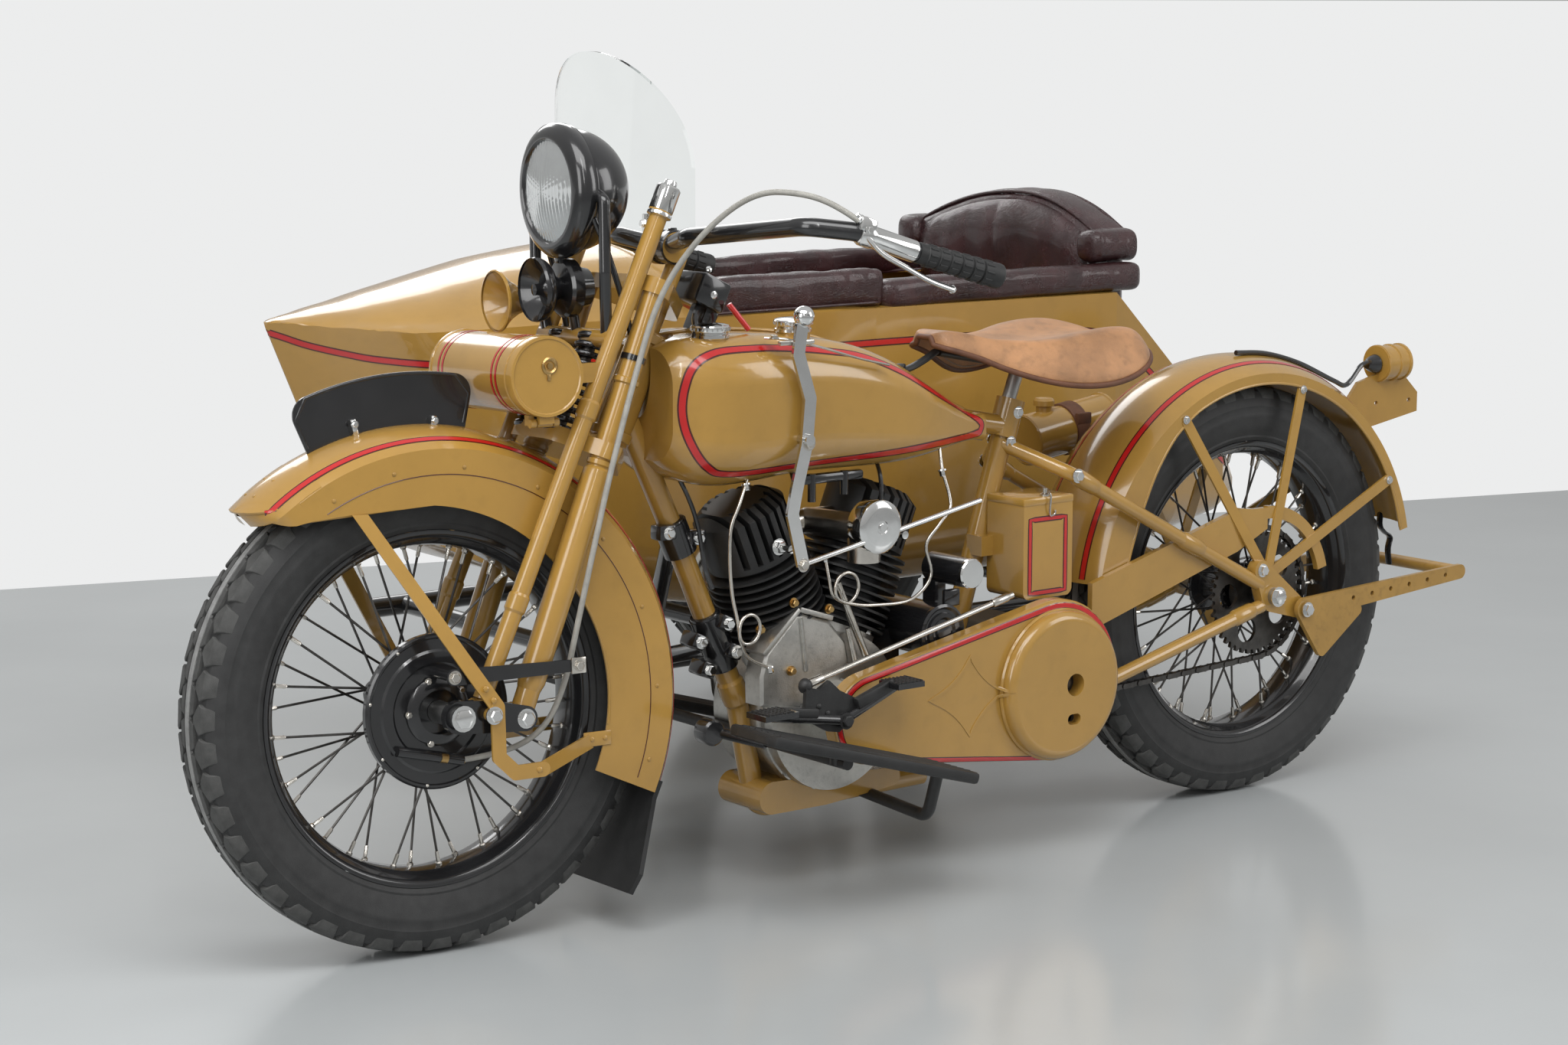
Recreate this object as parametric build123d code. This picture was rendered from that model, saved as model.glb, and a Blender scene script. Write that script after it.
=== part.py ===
from build123d import *
import math
import os

# Sidecar motorcycle. Working frame: X forward, Y to the rider's left, Z up, in millimetres,
# with zero on the ground below the rear axle in the motorcycle's centre plane.

# Driving dimensions
WHEELBASE = 1511
TYRE_R = 330
TYRE_HALF = 52
RIM_R = 240
RIM_HALF = 41
RAKE = 26
HEAD_X = 1190
HEAD_Z = 700
STEER_REST = -6.5
SIDECAR_WHEEL_X = 5
SIDECAR_WHEEL_Y = -1118
SIDECAR_Y = -660
PLAN_MID_X = 640
PLAN_MID_Y = -385

# Fits and clearances
RUN = 0.05
SEAT = 0.3
MOVE = 6

# Frame tubes
HEAD_R = 27
TUBE_R = 17
TOP_TUBE_R = 16
STAY_R = 11
STEM_R = 13
HEAD_LOW_Z = 664
HEAD_HIGH_Z = 808
CRADLE_Z = 110
STAY_Y = 100
LUG_IN = 92
LUG_OUT = 110
AXLE_R = 9

# Wheel parts
SPOKE_COUNT = 40
SPOKE_R = 1.8
HUB_R = 26
HUB_HALF = 46
FLANGE_R = 42
FLANGE_IN = 33
FLANGE_T = 5

# Fork
LEG_Y = 97
RIGID_R = 16
SPRING_LEG_R = 12.5
ROCKER_IN = 114
ROCKER_T = 12
BRAKE_R = 103
BRAKE_IN = 47.5
BRAKE_OUT = 59
CROWN_T = 22
CROWN_LOW_Z = 638
CROWN_HIGH_Z = 846

# Fenders
FENDER_GAP = 48
FRONT_FENDER_END = 205
FENDER_R = TYRE_R + FENDER_GAP
FENDER_T = 2.5
FENDER_HALF = 75
REAR_FENDER_HALF = 80

# Engine
CRANK_X = 860
CRANK_Z = 250
CASE_R = 115
CASE_HALF = 70
V_HALF = 22.5
FIN_R = 77
BARREL_R = 52
FIN_T = 3.5
FIN_PITCH = 12
FIN_COUNT = 10
FIN_START = 128
HEAD_FIN_R = 68
HEAD_FIN_TALL = 88
HEAD_CORE_R = 42
HEAD_SLOT = 7
HEAD_SLOT_PITCH = 16
COVER_IN = 113
COVER_OUT = 140
CLUTCH_X = 492
CLUTCH_Z = 255

# Chain line
CHAIN_Y = 68
CHAIN_HALF = 6
CHAIN_REAR_R = 106
CHAIN_FRONT_R = 48
CHAIN_T = 5

# Sidecar
BODY_WALL = 8
RAIL_R = 17
RAIL_Z = 262
CROSS_R = 14
CROSS_X = (940, 620, -60, -400)
RAIL_LEFT_Y = -345
RAIL_RIGHT_Y = -985

COCKPIT_FRONT = 705
COCKPIT_REAR = -120
COCKPIT_HALF = 244

# Tool drum on the fork, its lid hinged at the bottom of the left end
TOOL_X = 1362
TOOL_Z = 768
TOOL_R = 53
TOOL_HALF = 120
TOOL_LID_T = 16
TOOL_PIN_R = 3
TOOL_HINGE_Y = 106
TOOL_HINGE_Z = 706

# Rear stand, folded up behind the wheel
STAND_X = -59
STAND_Z = 304
STAND_Y = 120
STAND_TIP_X = -429
STAND_TIP_Z = 326
STAND_PIN_R = 7

# Number plate holes in the tail bracket
PLATE_HOLES_X = (-345, -425)
PLATE_HOLE_Z = 602
PLATE_HOLE_R = 4

FRONT_AXLE = Vector(WHEELBASE, 0, TYRE_R)
REAR_AXLE = Vector(0, 0, TYRE_R)
SIDECAR_AXLE = Vector(SIDECAR_WHEEL_X, SIDECAR_WHEEL_Y, TYRE_R)
UP_HEAD = Vector(-math.sin(math.radians(RAKE)), 0, math.cos(math.radians(RAKE)))
FORWARD_HEAD = Vector(math.cos(math.radians(RAKE)), 0, math.sin(math.radians(RAKE)))
HEAD_AXIS = Axis((HEAD_X, 0, HEAD_Z), UP_HEAD)
SIDES = (1, -1)


def rod(start, end, radius):
    """Round bar between two points."""
    a = Vector(start)
    b = Vector(end)
    axis = b - a
    bar = Cylinder(radius, axis.length, align=(Align.CENTER, Align.CENTER, Align.MIN))
    return Plane(origin=a, z_dir=axis) * bar


def pipe(points, bend, radius):
    """Round tube along straight runs joined by tangent bends."""
    path = FilletPolyline(*points, radius=bend)
    return sweep(Plane(origin=path @ 0, z_dir=path % 0) * Circle(radius), path=path)


def strap(start, end, width, thick, side=(0, 1, 0)):
    """Flat bar between two points, its thin way along side."""
    a = Vector(start)
    b = Vector(end)
    axis = b - a
    bar = Box(thick, width, axis.length, align=(Align.CENTER, Align.CENTER, Align.MIN))
    return Plane(origin=a, x_dir=Vector(side), z_dir=axis) * bar


def slab(outline, y_low, y_high):
    """Side-view outline (x, z) made solid between two y planes."""
    return Pos(0, y_high, 0) * extrude(Plane.XZ * outline, amount=y_high - y_low)


def across(side, near, far):
    """Y limits of a piece on one side, the low one first."""
    return sorted((side * near, side * far))


def disc(x, z, radius, y_low, y_high):
    """Round piece with its axis along Y."""
    return slab(Pos(x, z) * Circle(radius), y_low, y_high)


def hull(circles):
    """Side-view outline wrapped round circles given as (x, z, radius)."""
    edges = []
    for x, z, radius in circles:
        edges += (Pos(x, z) * Circle(radius)).edges()
    return make_hull(edges)


def turned(profile, centre):
    """Piece of revolution about a wheel axis, from a profile of (radius, across)."""
    return Pos(centre) * revolve(make_face(Polyline(*profile, close=True)), Axis.Y)


def head_point(z):
    """Point of the steering axis at a height."""
    return Vector(HEAD_X, 0, HEAD_Z) + UP_HEAD * ((z - HEAD_Z) / UP_HEAD.Z)


def steered(shape):
    """Turn a straight-ahead fork piece to where the steering rests."""
    return shape.rotate(HEAD_AXIS, STEER_REST)


def mirrored(shape):
    """The same piece on the other side of the centre plane."""
    return mirror(shape, Plane.XZ)


def main_solid(shape):
    """The largest solid of a trimmed piece, without its offcuts."""
    return shape.solids().sort_by(SortBy.VOLUME)[-1]


# Frame

def make_front_frame():
    head = rod(head_point(HEAD_LOW_Z), head_point(HEAD_HIGH_Z), HEAD_R)
    downtube = pipe(
        [(1176, 0, 690), (1103, 0, 538), (985, 0, 270), (952, 0, CRADLE_Z), (640, 0, CRADLE_Z + 4)],
        26, TUBE_R)
    keel_half = 50
    keel_outline = hull([(958, CRADLE_Z + 22, 24), (860, CRADLE_Z + 14, 16), (735, CRADLE_Z + 22, 14)])
    keel = slab(keel_outline, -keel_half, keel_half)
    bore = rod(head_point(HEAD_LOW_Z - 20), head_point(HEAD_HIGH_Z + 20), STEM_R + RUN)
    return head + downtube + keel - bore


def make_spine(front_frame):
    top_tube = rod((1139, 0, 758), (478, 0, 628), TOP_TUBE_R)
    seat_tube = pipe([(476, 0, 636), (600, 0, 243), (640, 0, CRADLE_Z + 6)], 60, TUBE_R)
    lug = rod((466, 0, 668), (484, 0, 612), TUBE_R + 5)
    return top_tube + seat_tube + lug - front_frame


def make_rear_frame(spine, front_frame):
    plate = Pos(520, 0, 190) * Box(190, 2 * LUG_OUT, 14)
    shape = plate
    for side in SIDES:
        upper = pipe(
            [(488, side * 8, 602), (425, side * 97, 560), (169, side * STAY_Y, 425), (24, side * 101, 350)],
            45, STAY_R)
        lower = rod((470, side * STAY_Y, 206), (20, side * 101, 315), STAY_R)
        lug_outline = hull([(0, TYRE_R, 26), (27, 374, 16), (-59, 304, 16)])
        lug = slab(lug_outline, min(side * LUG_IN, side * LUG_OUT), max(side * LUG_IN, side * LUG_OUT))
        shape = shape + upper + lower + lug
    axle_hole = rod((0, -LUG_OUT - 5, TYRE_R), (0, LUG_OUT + 5, TYRE_R), AXLE_R + RUN)
    pivot_hole = rod((-59, -LUG_OUT - 5, 304), (-59, LUG_OUT + 5, 304), STAND_PIN_R + RUN)
    return shape - spine - front_frame - axle_hole - pivot_hole


# Wheels

def make_tyre(centre):
    bead = RIM_HALF - 2
    outline = [
        ThreePointArc((RIM_R, bead), (RIM_R + 42, TYRE_HALF), (TYRE_R - 17, 43)),
        ThreePointArc((TYRE_R - 17, 43), (TYRE_R, 0), (TYRE_R - 17, -43)),
        ThreePointArc((TYRE_R - 17, -43), (RIM_R + 42, -TYRE_HALF), (RIM_R, -bead)),
        Line((RIM_R, -bead), (RIM_R, bead)),
    ]
    return Pos(centre) * revolve(make_face(outline), Axis.Y)


def make_wire_wheel():
    rim_profile = [
        (RIM_R, RIM_HALF), (RIM_R - 4, RIM_HALF), (RIM_R - 14, 34), (RIM_R - 22, 18),
        (RIM_R - 22, -18), (RIM_R - 14, -34), (RIM_R - 4, -RIM_HALF), (RIM_R, -RIM_HALF),
        (RIM_R, 4 - RIM_HALF), (RIM_R - 9, -31), (RIM_R - 17, -16),
        (RIM_R - 17, 16), (RIM_R - 9, 31), (RIM_R, RIM_HALF - 4)]
    rim = turned(rim_profile, (0, 0, 0))
    hub = disc(0, 0, HUB_R, -HUB_HALF, HUB_HALF)
    for side in SIDES:
        low = min(side * FLANGE_IN, side * (FLANGE_IN + FLANGE_T))
        hub = hub + disc(0, 0, FLANGE_R, low, low + FLANGE_T)
    spokes = []
    for index in range(SPOKE_COUNT):
        side = SIDES[index % 2]
        lean = 32 if index % 4 < 2 else -32
        rim_angle = math.radians(360 * index / SPOKE_COUNT)
        hub_angle = rim_angle + math.radians(lean)
        hub_end = ((FLANGE_R - 4) * math.cos(hub_angle), side * (FLANGE_IN + FLANGE_T / 2),
                   (FLANGE_R - 4) * math.sin(hub_angle))
        rim_end = ((RIM_R - 20) * math.cos(rim_angle), side * 8, (RIM_R - 20) * math.sin(rim_angle))
        spokes.append(rod(hub_end, rim_end, SPOKE_R))
    return rim.fuse(hub, *spokes) - disc(0, 0, AXLE_R + RUN, -HUB_HALF - 5, HUB_HALF + 5)


def make_sprocket():
    teeth = 44
    tip = CHAIN_REAR_R - CHAIN_T - 2
    outline = Circle(tip - 7)
    for index in range(teeth):
        tooth = Polygon((tip - 9, -5), (tip, -2), (tip, 2), (tip - 9, 5), align=None)
        outline = outline + Rot(0, 0, 360 * index / teeth) * tooth
    for index in range(5):
        outline = outline - Rot(0, 0, 72 * index) * (Pos(62, 0) * Circle(20))
    plate = slab(Pos(0, 0) * outline, CHAIN_Y - 3, CHAIN_Y + 3)
    boss = disc(0, 0, 36, HUB_HALF, CHAIN_Y - 3)
    return Pos(REAR_AXLE) * (plate + boss - disc(0, 0, AXLE_R + RUN, 0, 100))


# Fork

def make_rigid_fork():
    crown_sets = ((CROWN_LOW_Z, 50, 96), (CROWN_HIGH_Z, 66, 66))
    shape = rod(head_point(CROWN_LOW_Z), head_point(912), STEM_R)
    for z, leg_reach, nose in crown_sets:
        outline = Circle(30)
        edges = list(outline.edges())
        edges += (Pos(leg_reach, LEG_Y) * Circle(21)).edges()
        edges += (Pos(leg_reach, -LEG_Y) * Circle(21)).edges()
        edges += (Pos(nose, 45) * Circle(22)).edges()
        edges += (Pos(nose, -45) * Circle(22)).edges()
        plate = Plane(origin=head_point(z), x_dir=FORWARD_HEAD, z_dir=UP_HEAD) * make_hull(edges)
        shape = shape + extrude(plate, amount=CROWN_T / 2, both=True)
    for side in SIDES:
        leg = rod((1178, side * LEG_Y, 880), (1406, side * LEG_Y, 322), RIGID_R)
        eye = disc(1414, 318, 17, *across(side, 82, ROCKER_IN))
        shape = shape + leg + eye
    clamp = disc(1105, 926, 21, -26, 26)
    return shape + clamp


def make_spring_fork():
    shape = rod((1249, -LEG_Y, 810), (1249, LEG_Y, 810), 13)
    for side in SIDES:
        leg = rod((1170, side * LEG_Y, 976), (1464, side * LEG_Y, 346), SPRING_LEG_R)
        cap = rod((1156, side * LEG_Y, 1006), (1171, side * LEG_Y, 974), SPRING_LEG_R + 4)
        eye = disc(1468, 330, 17, *across(side, 82, ROCKER_IN))
        shape = shape + leg + cap + eye
    return shape


def make_fork_springs(rigid_fork, spring_fork):
    coil_r = 20
    wire = 4.2
    turns = 9
    low = Vector(1308, 0, 688)
    high = Vector(1254, 0, 800)
    length = (high - low).length
    pitch = length / turns
    profile = Polyline((0, 0), (coil_r - wire, 0))
    edges = list(profile.edges())
    for index in range(turns):
        start = index * pitch
        middle, end = start + pitch / 2, start + pitch
        edges.append(ThreePointArc((coil_r - wire, start), (coil_r, middle), (coil_r - wire, end)))
    edges += Polyline((coil_r - wire, length), (0, length), (0, 0)).edges()
    coil = revolve(make_face(edges), Axis.Y)
    shape = None
    for side in SIDES:
        normal = (high - low).cross(Vector(0, 1, 0)) * -1
        place = Plane(origin=low + Vector(0, side * 42, 0), x_dir=(0, 1, 0), z_dir=normal)
        one = place * coil
        shape = one if shape is None else shape + one
    return shape - rigid_fork - spring_fork


def make_rockers():
    outline = hull([(1414, 318, 17), (1468, 330, 18), (WHEELBASE, TYRE_R, 22)])
    left = slab(outline, ROCKER_IN, ROCKER_IN + ROCKER_T)
    left = left - rod((WHEELBASE, 0, TYRE_R), (WHEELBASE, 200, TYRE_R), AXLE_R + RUN)
    return left + mirrored(left)


def make_front_axle():
    axle = rod((WHEELBASE, -141, TYRE_R), (WHEELBASE, 141, TYRE_R), AXLE_R)
    for side in SIDES:
        low = 60 if side > 0 else 52
        spacer = disc(WHEELBASE, TYRE_R, 15, *across(side, low, ROCKER_IN))
        nut_in = ROCKER_IN + ROCKER_T
        nut = disc(WHEELBASE, TYRE_R, 15, *across(side, nut_in, nut_in + 10))
        axle = axle + spacer + nut
    return axle


def fender_ring(outer_r, half, skirt_r, crown, start, end):
    """Fender about a wheel axis at zero, between two angles counted up from forward."""
    shoulder = outer_r - crown
    outer = [
        Line((skirt_r, -half), (shoulder, -half)),
        ThreePointArc((shoulder, -half), (outer_r, 0), (shoulder, half)),
        Line((shoulder, half), (skirt_r, half)),
        Line((skirt_r, half), (skirt_r, half - FENDER_T)),
        Line((skirt_r, half - FENDER_T), (shoulder, half - FENDER_T)),
        ThreePointArc((shoulder, half - FENDER_T), (outer_r - FENDER_T, 0), (shoulder, FENDER_T - half)),
        Line((shoulder, FENDER_T - half), (skirt_r, FENDER_T - half)),
        Line((skirt_r, FENDER_T - half), (skirt_r, -half)),
    ]
    ring = revolve(make_face(outer), Axis.Y, end - start)
    return Rot(0, -end, 0) * ring


def make_front_fender():
    half = FENDER_HALF
    crown = 28
    skirt_r = 250
    round_from = 60
    ring = fender_ring(FENDER_R, half, skirt_r, crown, round_from, FRONT_FENDER_END)
    tip = fender_ring(FENDER_R, half, skirt_r, crown, round_from - 14, round_from)
    toward_tip = Vector(math.cos(math.radians(round_from)), 0, math.sin(math.radians(round_from)))
    tip = tip & (Plane(origin=(0, 0, 0), z_dir=toward_tip) * Cylinder(half + 2, 4 * FENDER_R))
    trim = Pos(200, 0, 126) * Box(400, 300, 252)
    end_turn = math.radians(FRONT_FENDER_END)
    outward = Vector(math.cos(end_turn), math.sin(end_turn), 0)
    back = Vector(math.sin(end_turn), -math.cos(end_turn), 0)
    corner_r = 46
    corner = outward * skirt_r
    centre = corner + outward * corner_r + back * corner_r
    patch = [corner - outward * 6 - back * 6, corner + outward * corner_r - back * 6, centre,
             corner + back * corner_r - outward * 6]
    patch = Polygon(*[(point.X, point.Y) for point in patch], align=None)
    rounding = slab(patch - Pos(centre.X, centre.Y) * Circle(corner_r), -2 * half, 2 * half)
    shape = Pos(FRONT_AXLE) * (main_solid(ring - trim - rounding) + main_solid(tip - trim))
    loop_t = 4
    loop_y = ROCKER_IN + ROCKER_T + 10
    loop_mid = loop_y + loop_t / 2
    boss_in = ROCKER_IN + ROCKER_T + SEAT
    loop = ((1462, 340), (1462, 273), (1439, 250), (1398, 250))
    for side in SIDES:
        front = strap((1614, side * (half + 1), 590), (1462, side * loop_mid, 340), 20, loop_t)
        rear = strap((1290, side * (half - 1), 266), (1398, side * loop_mid, 250), 20, loop_t)
        boss = disc(1468, TYRE_R, 9, *across(side, boss_in, loop_y + 1))
        shape = shape + front + rear + boss
        for start, end in zip(loop, loop[1:]):
            shape = shape + slab(hull([(*start, 10), (*end, 10)]), *across(side, loop_y, loop_y + loop_t))
    return shape


def make_fender_plate():
    tall = 70
    first, last = 67.5, 103
    wedge = [(0, 0)]
    for angle in (first, (first + last) / 2, last):
        turn = math.radians(angle)
        wedge.append((2 * FENDER_R * math.cos(turn), 2 * FENDER_R * math.sin(turn)))
    sector = (Circle(FENDER_R + tall) - Circle(FENDER_R)) & Polygon(*wedge, align=None)
    corners = sector.vertices().sort_by(lambda vertex: Vector(vertex.X, vertex.Y, 0).length)[-2:]
    sector = fillet(corners, 26)
    return Pos(FRONT_AXLE) * slab(sector, -1.5, 1.5)


def make_mud_flap(front_fender):
    top_half = FENDER_HALF - 1
    low_half = 108
    thick = 7
    inside = 18
    tall = 142
    end_turn = math.radians(FRONT_FENDER_END)
    hang_r = FENDER_R - 28
    top = (WHEELBASE + hang_r * math.cos(end_turn), 0, TYRE_R + hang_r * math.sin(end_turn))
    left = [(top_half, -inside), (top_half, 8), (low_half, tall - 30), (low_half - 8, tall)]
    right = [(-y, low) for y, low in reversed(left)]
    outline = Polygon(*left, *right, align=None)
    outward = (math.cos(end_turn), 0, math.sin(end_turn))
    face = Plane(origin=top, x_dir=(0, 1, 0), z_dir=outward) * outline
    return main_solid(extrude(face, amount=thick) - front_fender)


def make_toolbox(spring_fork):
    drum = disc(TOOL_X, TOOL_Z, TOOL_R, -TOOL_HALF, TOOL_HALF - TOOL_LID_T)
    shape = drum - disc(TOOL_X, TOOL_Z, TOOL_R - 3, 4 - TOOL_HALF, TOOL_HALF)
    inside = disc(TOOL_X, TOOL_Z, TOOL_R - 3, -500, 500)
    for side in SIDES:
        shape = shape + (Pos(1290, side * LEG_Y, TOOL_Z) * Box(50, 14, 26) - inside)
    pin = rod((TOOL_X - 20, TOOL_HINGE_Y, TOOL_HINGE_Z), (TOOL_X + 20, TOOL_HINGE_Y, TOOL_HINGE_Z), TOOL_PIN_R)
    shape = shape + pin
    for ear_x in (TOOL_X - 17, TOOL_X + 17):
        ear = rod((ear_x - 4, TOOL_HINGE_Y, TOOL_HINGE_Z), (ear_x + 4, TOOL_HINGE_Y, TOOL_HINGE_Z), 6)
        post = Pos(ear_x, TOOL_HINGE_Y - 8, TOOL_HINGE_Z + 4) * Box(8, 12, 14)
        shape = shape + ear + post
    lid_room = disc(TOOL_X, TOOL_Z, TOOL_R + 1, TOOL_HALF - TOOL_LID_T, TOOL_HALF + 10)
    return shape - spring_fork - lid_room


def make_toolbox_lid():
    face = TOOL_HALF - TOOL_LID_T + SEAT
    lid = disc(TOOL_X, TOOL_Z, TOOL_R, face, TOOL_HALF)
    knuckle = rod((TOOL_X - 11, TOOL_HINGE_Y, TOOL_HINGE_Z), (TOOL_X + 11, TOOL_HINGE_Y, TOOL_HINGE_Z), 6)
    post = Pos(TOOL_X, TOOL_HINGE_Y + 6, TOOL_HINGE_Z + 6) * Box(22, 8, 14)
    hole_end = Vector(TOOL_X + 30, TOOL_HINGE_Y, TOOL_HINGE_Z)
    hole = rod(hole_end - Vector(60, 0, 0), hole_end, TOOL_PIN_R + RUN)
    return lid + knuckle + post - hole


def make_horn(spring_fork):
    profile = [
        Line((0, -84), (0, 0)), Line((0, 0), (8, -2)), ThreePointArc((8, -2), (20, -22), (43, 0)),
        Line((43, 0), (44, -4)), ThreePointArc((44, -4), (22, -28), (14, -40)),
        Line((14, -40), (36, -42)), Line((36, -42), (40, -46)), Line((40, -46), (40, -60)),
        Line((40, -60), (30, -64)), Line((30, -64), (26, -82)), Line((26, -82), (0, -84))]
    horn = revolve(make_face(profile), Axis.Y)
    horn = Plane(origin=(1316, 0, 877), x_dir=(0, 1, 0), z_dir=(0, 0, 1)) * (Rot(0, 0, 180) * horn)
    post = rod((1256, 0, 852), (1251, 0, 815), 7)
    return horn + post - spring_fork


def make_headlamp():
    profile = [
        Line((0, -98), (0, 12)), ThreePointArc((0, 12), (40, 8), (74, 0)), Line((74, 0), (89, 0)),
        Line((89, 0), (89, -20)), Line((89, -20), (84, -24)),
        ThreePointArc((84, -24), (66, -72), (30, -98)), Line((30, -98), (0, -98))]
    lamp = revolve(make_face(profile), Axis.Y)
    return Plane(origin=(1278, 0, 1009), x_dir=(0, 1, 0), z_dir=(0, 0, 1)) * (Rot(0, 0, 180) * lamp)


def make_lamp_brackets(headlamp, spring_fork):
    shape = None
    for side in SIDES:
        line = [(1256, side * 82, 1003), (1256, side * 99, 996), (1258, side * 99, 900), (1251, side * 84, 814)]
        arm = pipe(line, 8, 8)
        shape = arm if shape is None else shape + arm
    return shape - headlamp - spring_fork


def make_handlebar():
    left = [(815, 378, 881), (945, 372, 919), (1030, 365, 948), (1088, 332, 957), (1126, 95, 942)]
    right = [(x, -y, z) for x, y, z in reversed(left)]
    return pipe(left + [(1105, 0, 926)] + right, 36, 12.5)


def make_grips(handlebar):
    shape = None
    for side in SIDES:
        grip = rod((811, side * 378.2, 879.8), (940, side * 372.2, 917.5), 17)
        shape = grip if shape is None else shape + grip
    return shape - handlebar


def make_brake_lever(handlebar, grips):
    sleeve = rod((946, 371.9, 919.4), (1000, 367.4, 937.8), 16)
    lever = pipe([(975, 370, 929), (972, 402, 934), (925, 412, 921), (836, 416, 897)], 12, 5)
    return sleeve + lever - handlebar - grips


def make_brake_cable(front_brake):
    points = [(985, 374, 952), (1010, 366, 1000), (1065, 330, 1030), (1120, 262, 1016), (1165, 190, 950),
              (1200, 138, 868), (1236, 125, 750), (1276, 125, 630), (1306, 122, 520), (1326, 112, 430),
              (1336, 92, 350), (1366, 84, 290), (1424, 74, 264), (1486, 66, 262)]
    return main_solid(pipe(points, 22, 4) - front_brake)


def make_front_brake():
    plate = disc(WHEELBASE, TYRE_R, BRAKE_R, BRAKE_OUT - 6.5, BRAKE_OUT)
    ring_in = disc(WHEELBASE, TYRE_R, BRAKE_R - 5, BRAKE_IN - 8, BRAKE_OUT + 1)
    rim = disc(WHEELBASE, TYRE_R, BRAKE_R, BRAKE_IN, BRAKE_OUT - 6) - ring_in
    pivot_x, pivot_z = WHEELBASE + 3, TYRE_R + 53
    arm_x, arm_z = WHEELBASE - 181, TYRE_R + 50
    arm_in = LEG_Y + RIGID_R + 4.7
    arm_t = 3
    arm = slab(hull([(pivot_x, pivot_z, 11), (arm_x, arm_z, 8)]), arm_in, arm_in + arm_t)
    pivot = disc(pivot_x, pivot_z, 7, BRAKE_OUT - 1, arm_in + 1)
    stub = rod((WHEELBASE - 31, BRAKE_OUT + 6, TYRE_R - 69), (WHEELBASE + 64, BRAKE_OUT + 6, TYRE_R - 46), 7)
    bore = disc(WHEELBASE, TYRE_R, AXLE_R + RUN, 0, 100)
    return plate + rim + arm + pivot + stub - bore


# Engine and drive

def make_crankcase(front_frame):
    case = disc(CRANK_X, CRANK_Z, CASE_R, -CASE_HALF, CASE_HALF)
    boss = disc(CRANK_X, CRANK_Z, 48, CASE_HALF, COVER_IN)
    gears = hull([(CRANK_X, CRANK_Z, 62), (CRANK_X + 40, CRANK_Z + 60, 45), (CRANK_X - 75, CRANK_Z + 70, 45)])
    timing = slab(gears, -CASE_HALF - 26, -CASE_HALF)
    shape = case + boss + timing
    for sign in SIDES:
        axis = cylinder_axis(sign)
        crank = Vector(CRANK_X, 0, CRANK_Z)
        shape = shape + rod(crank + axis * 40, crank + axis * (FIN_START - 6), CASE_HALF - 4)
    return shape - front_frame


def cylinder_axis(sign):
    """Direction of a barrel from the crank, forward for sign 1 and back for sign -1."""
    lean = math.radians(V_HALF) * sign
    return Vector(math.sin(lean), 0, math.cos(lean))


def make_cylinder(sign, crankcase, front_frame):
    """Barrel with ring fins, below a head with upright fins."""
    points = [(0, 90), (BARREL_R, 90)]
    for index in range(FIN_COUNT):
        start = FIN_START + index * FIN_PITCH
        points += [(BARREL_R, start), (FIN_R, start), (FIN_R, start + FIN_T), (BARREL_R, start + FIN_T)]
    head = FIN_START + FIN_COUNT * FIN_PITCH
    top = head + HEAD_FIN_TALL
    points += [(BARREL_R, head), (HEAD_FIN_R, head), (HEAD_FIN_R, top - 14), (HEAD_FIN_R - 18, top), (0, top)]
    barrel = revolve(make_face(Polyline(*points, close=True)), Axis.Y)
    core = Rot(90, 0, 0) * Cylinder(HEAD_CORE_R, 4 * top)
    for index in range(-3, 4):
        slot = Pos(0, head + 8 + top / 2, index * HEAD_SLOT_PITCH) * Box(4 * HEAD_FIN_R, top, HEAD_SLOT)
        barrel = barrel - (slot - core)
    axis = cylinder_axis(sign)
    place = Plane(origin=(CRANK_X, 0, CRANK_Z), x_dir=(0, 1, 0), z_dir=axis.cross(Vector(0, 1, 0)) * -1)
    shape = place * barrel
    other_side = Pos(CRANK_X - sign * 200 + sign * 1, 0, 400) * Box(400, 400, 800)
    return main_solid(shape - other_side - crankcase - front_frame)


def make_intake(front_cylinder, rear_cylinder):
    manifold = rod((CRANK_X + 70, 0, 520), (CRANK_X - 70, 0, 520), 18)
    neck = rod((CRANK_X, 0, 520), (CRANK_X - 20, 100, 522), 20)
    bowl = Pos(CRANK_X - 30, 96, 500) * Cylinder(24, 60)
    cover = disc(825, 524, 31, 100, 124)
    return main_solid(manifold + neck + bowl + cover - front_cylinder - rear_cylinder)


def make_generator(crankcase, rear_cylinder):
    shape = disc(688, 352, 40, -60, 102) + disc(659, 439, 22, 48, 130)
    bracket = Pos(668, 62, 398) * Box(20, 28, 50)
    saddle_block = Pos(738, 0, 320) * Box(60, 60, 60)
    return shape + bracket + saddle_block - crankcase - rear_cylinder


def make_gearbox(rear_frame, spine):
    case = Pos(488, -12, 266) * Box(116, 134, 138)
    case = fillet(case.edges().filter_by(Axis.Y), 22)
    shaft = disc(CLUTCH_X, CLUTCH_Z, 16, 54, COVER_IN)
    sprocket = disc(CLUTCH_X, CLUTCH_Z, CHAIN_FRONT_R - CHAIN_T - 1, CHAIN_Y - 3, CHAIN_Y + 3)
    return case + shaft + sprocket - rear_frame - spine


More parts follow.
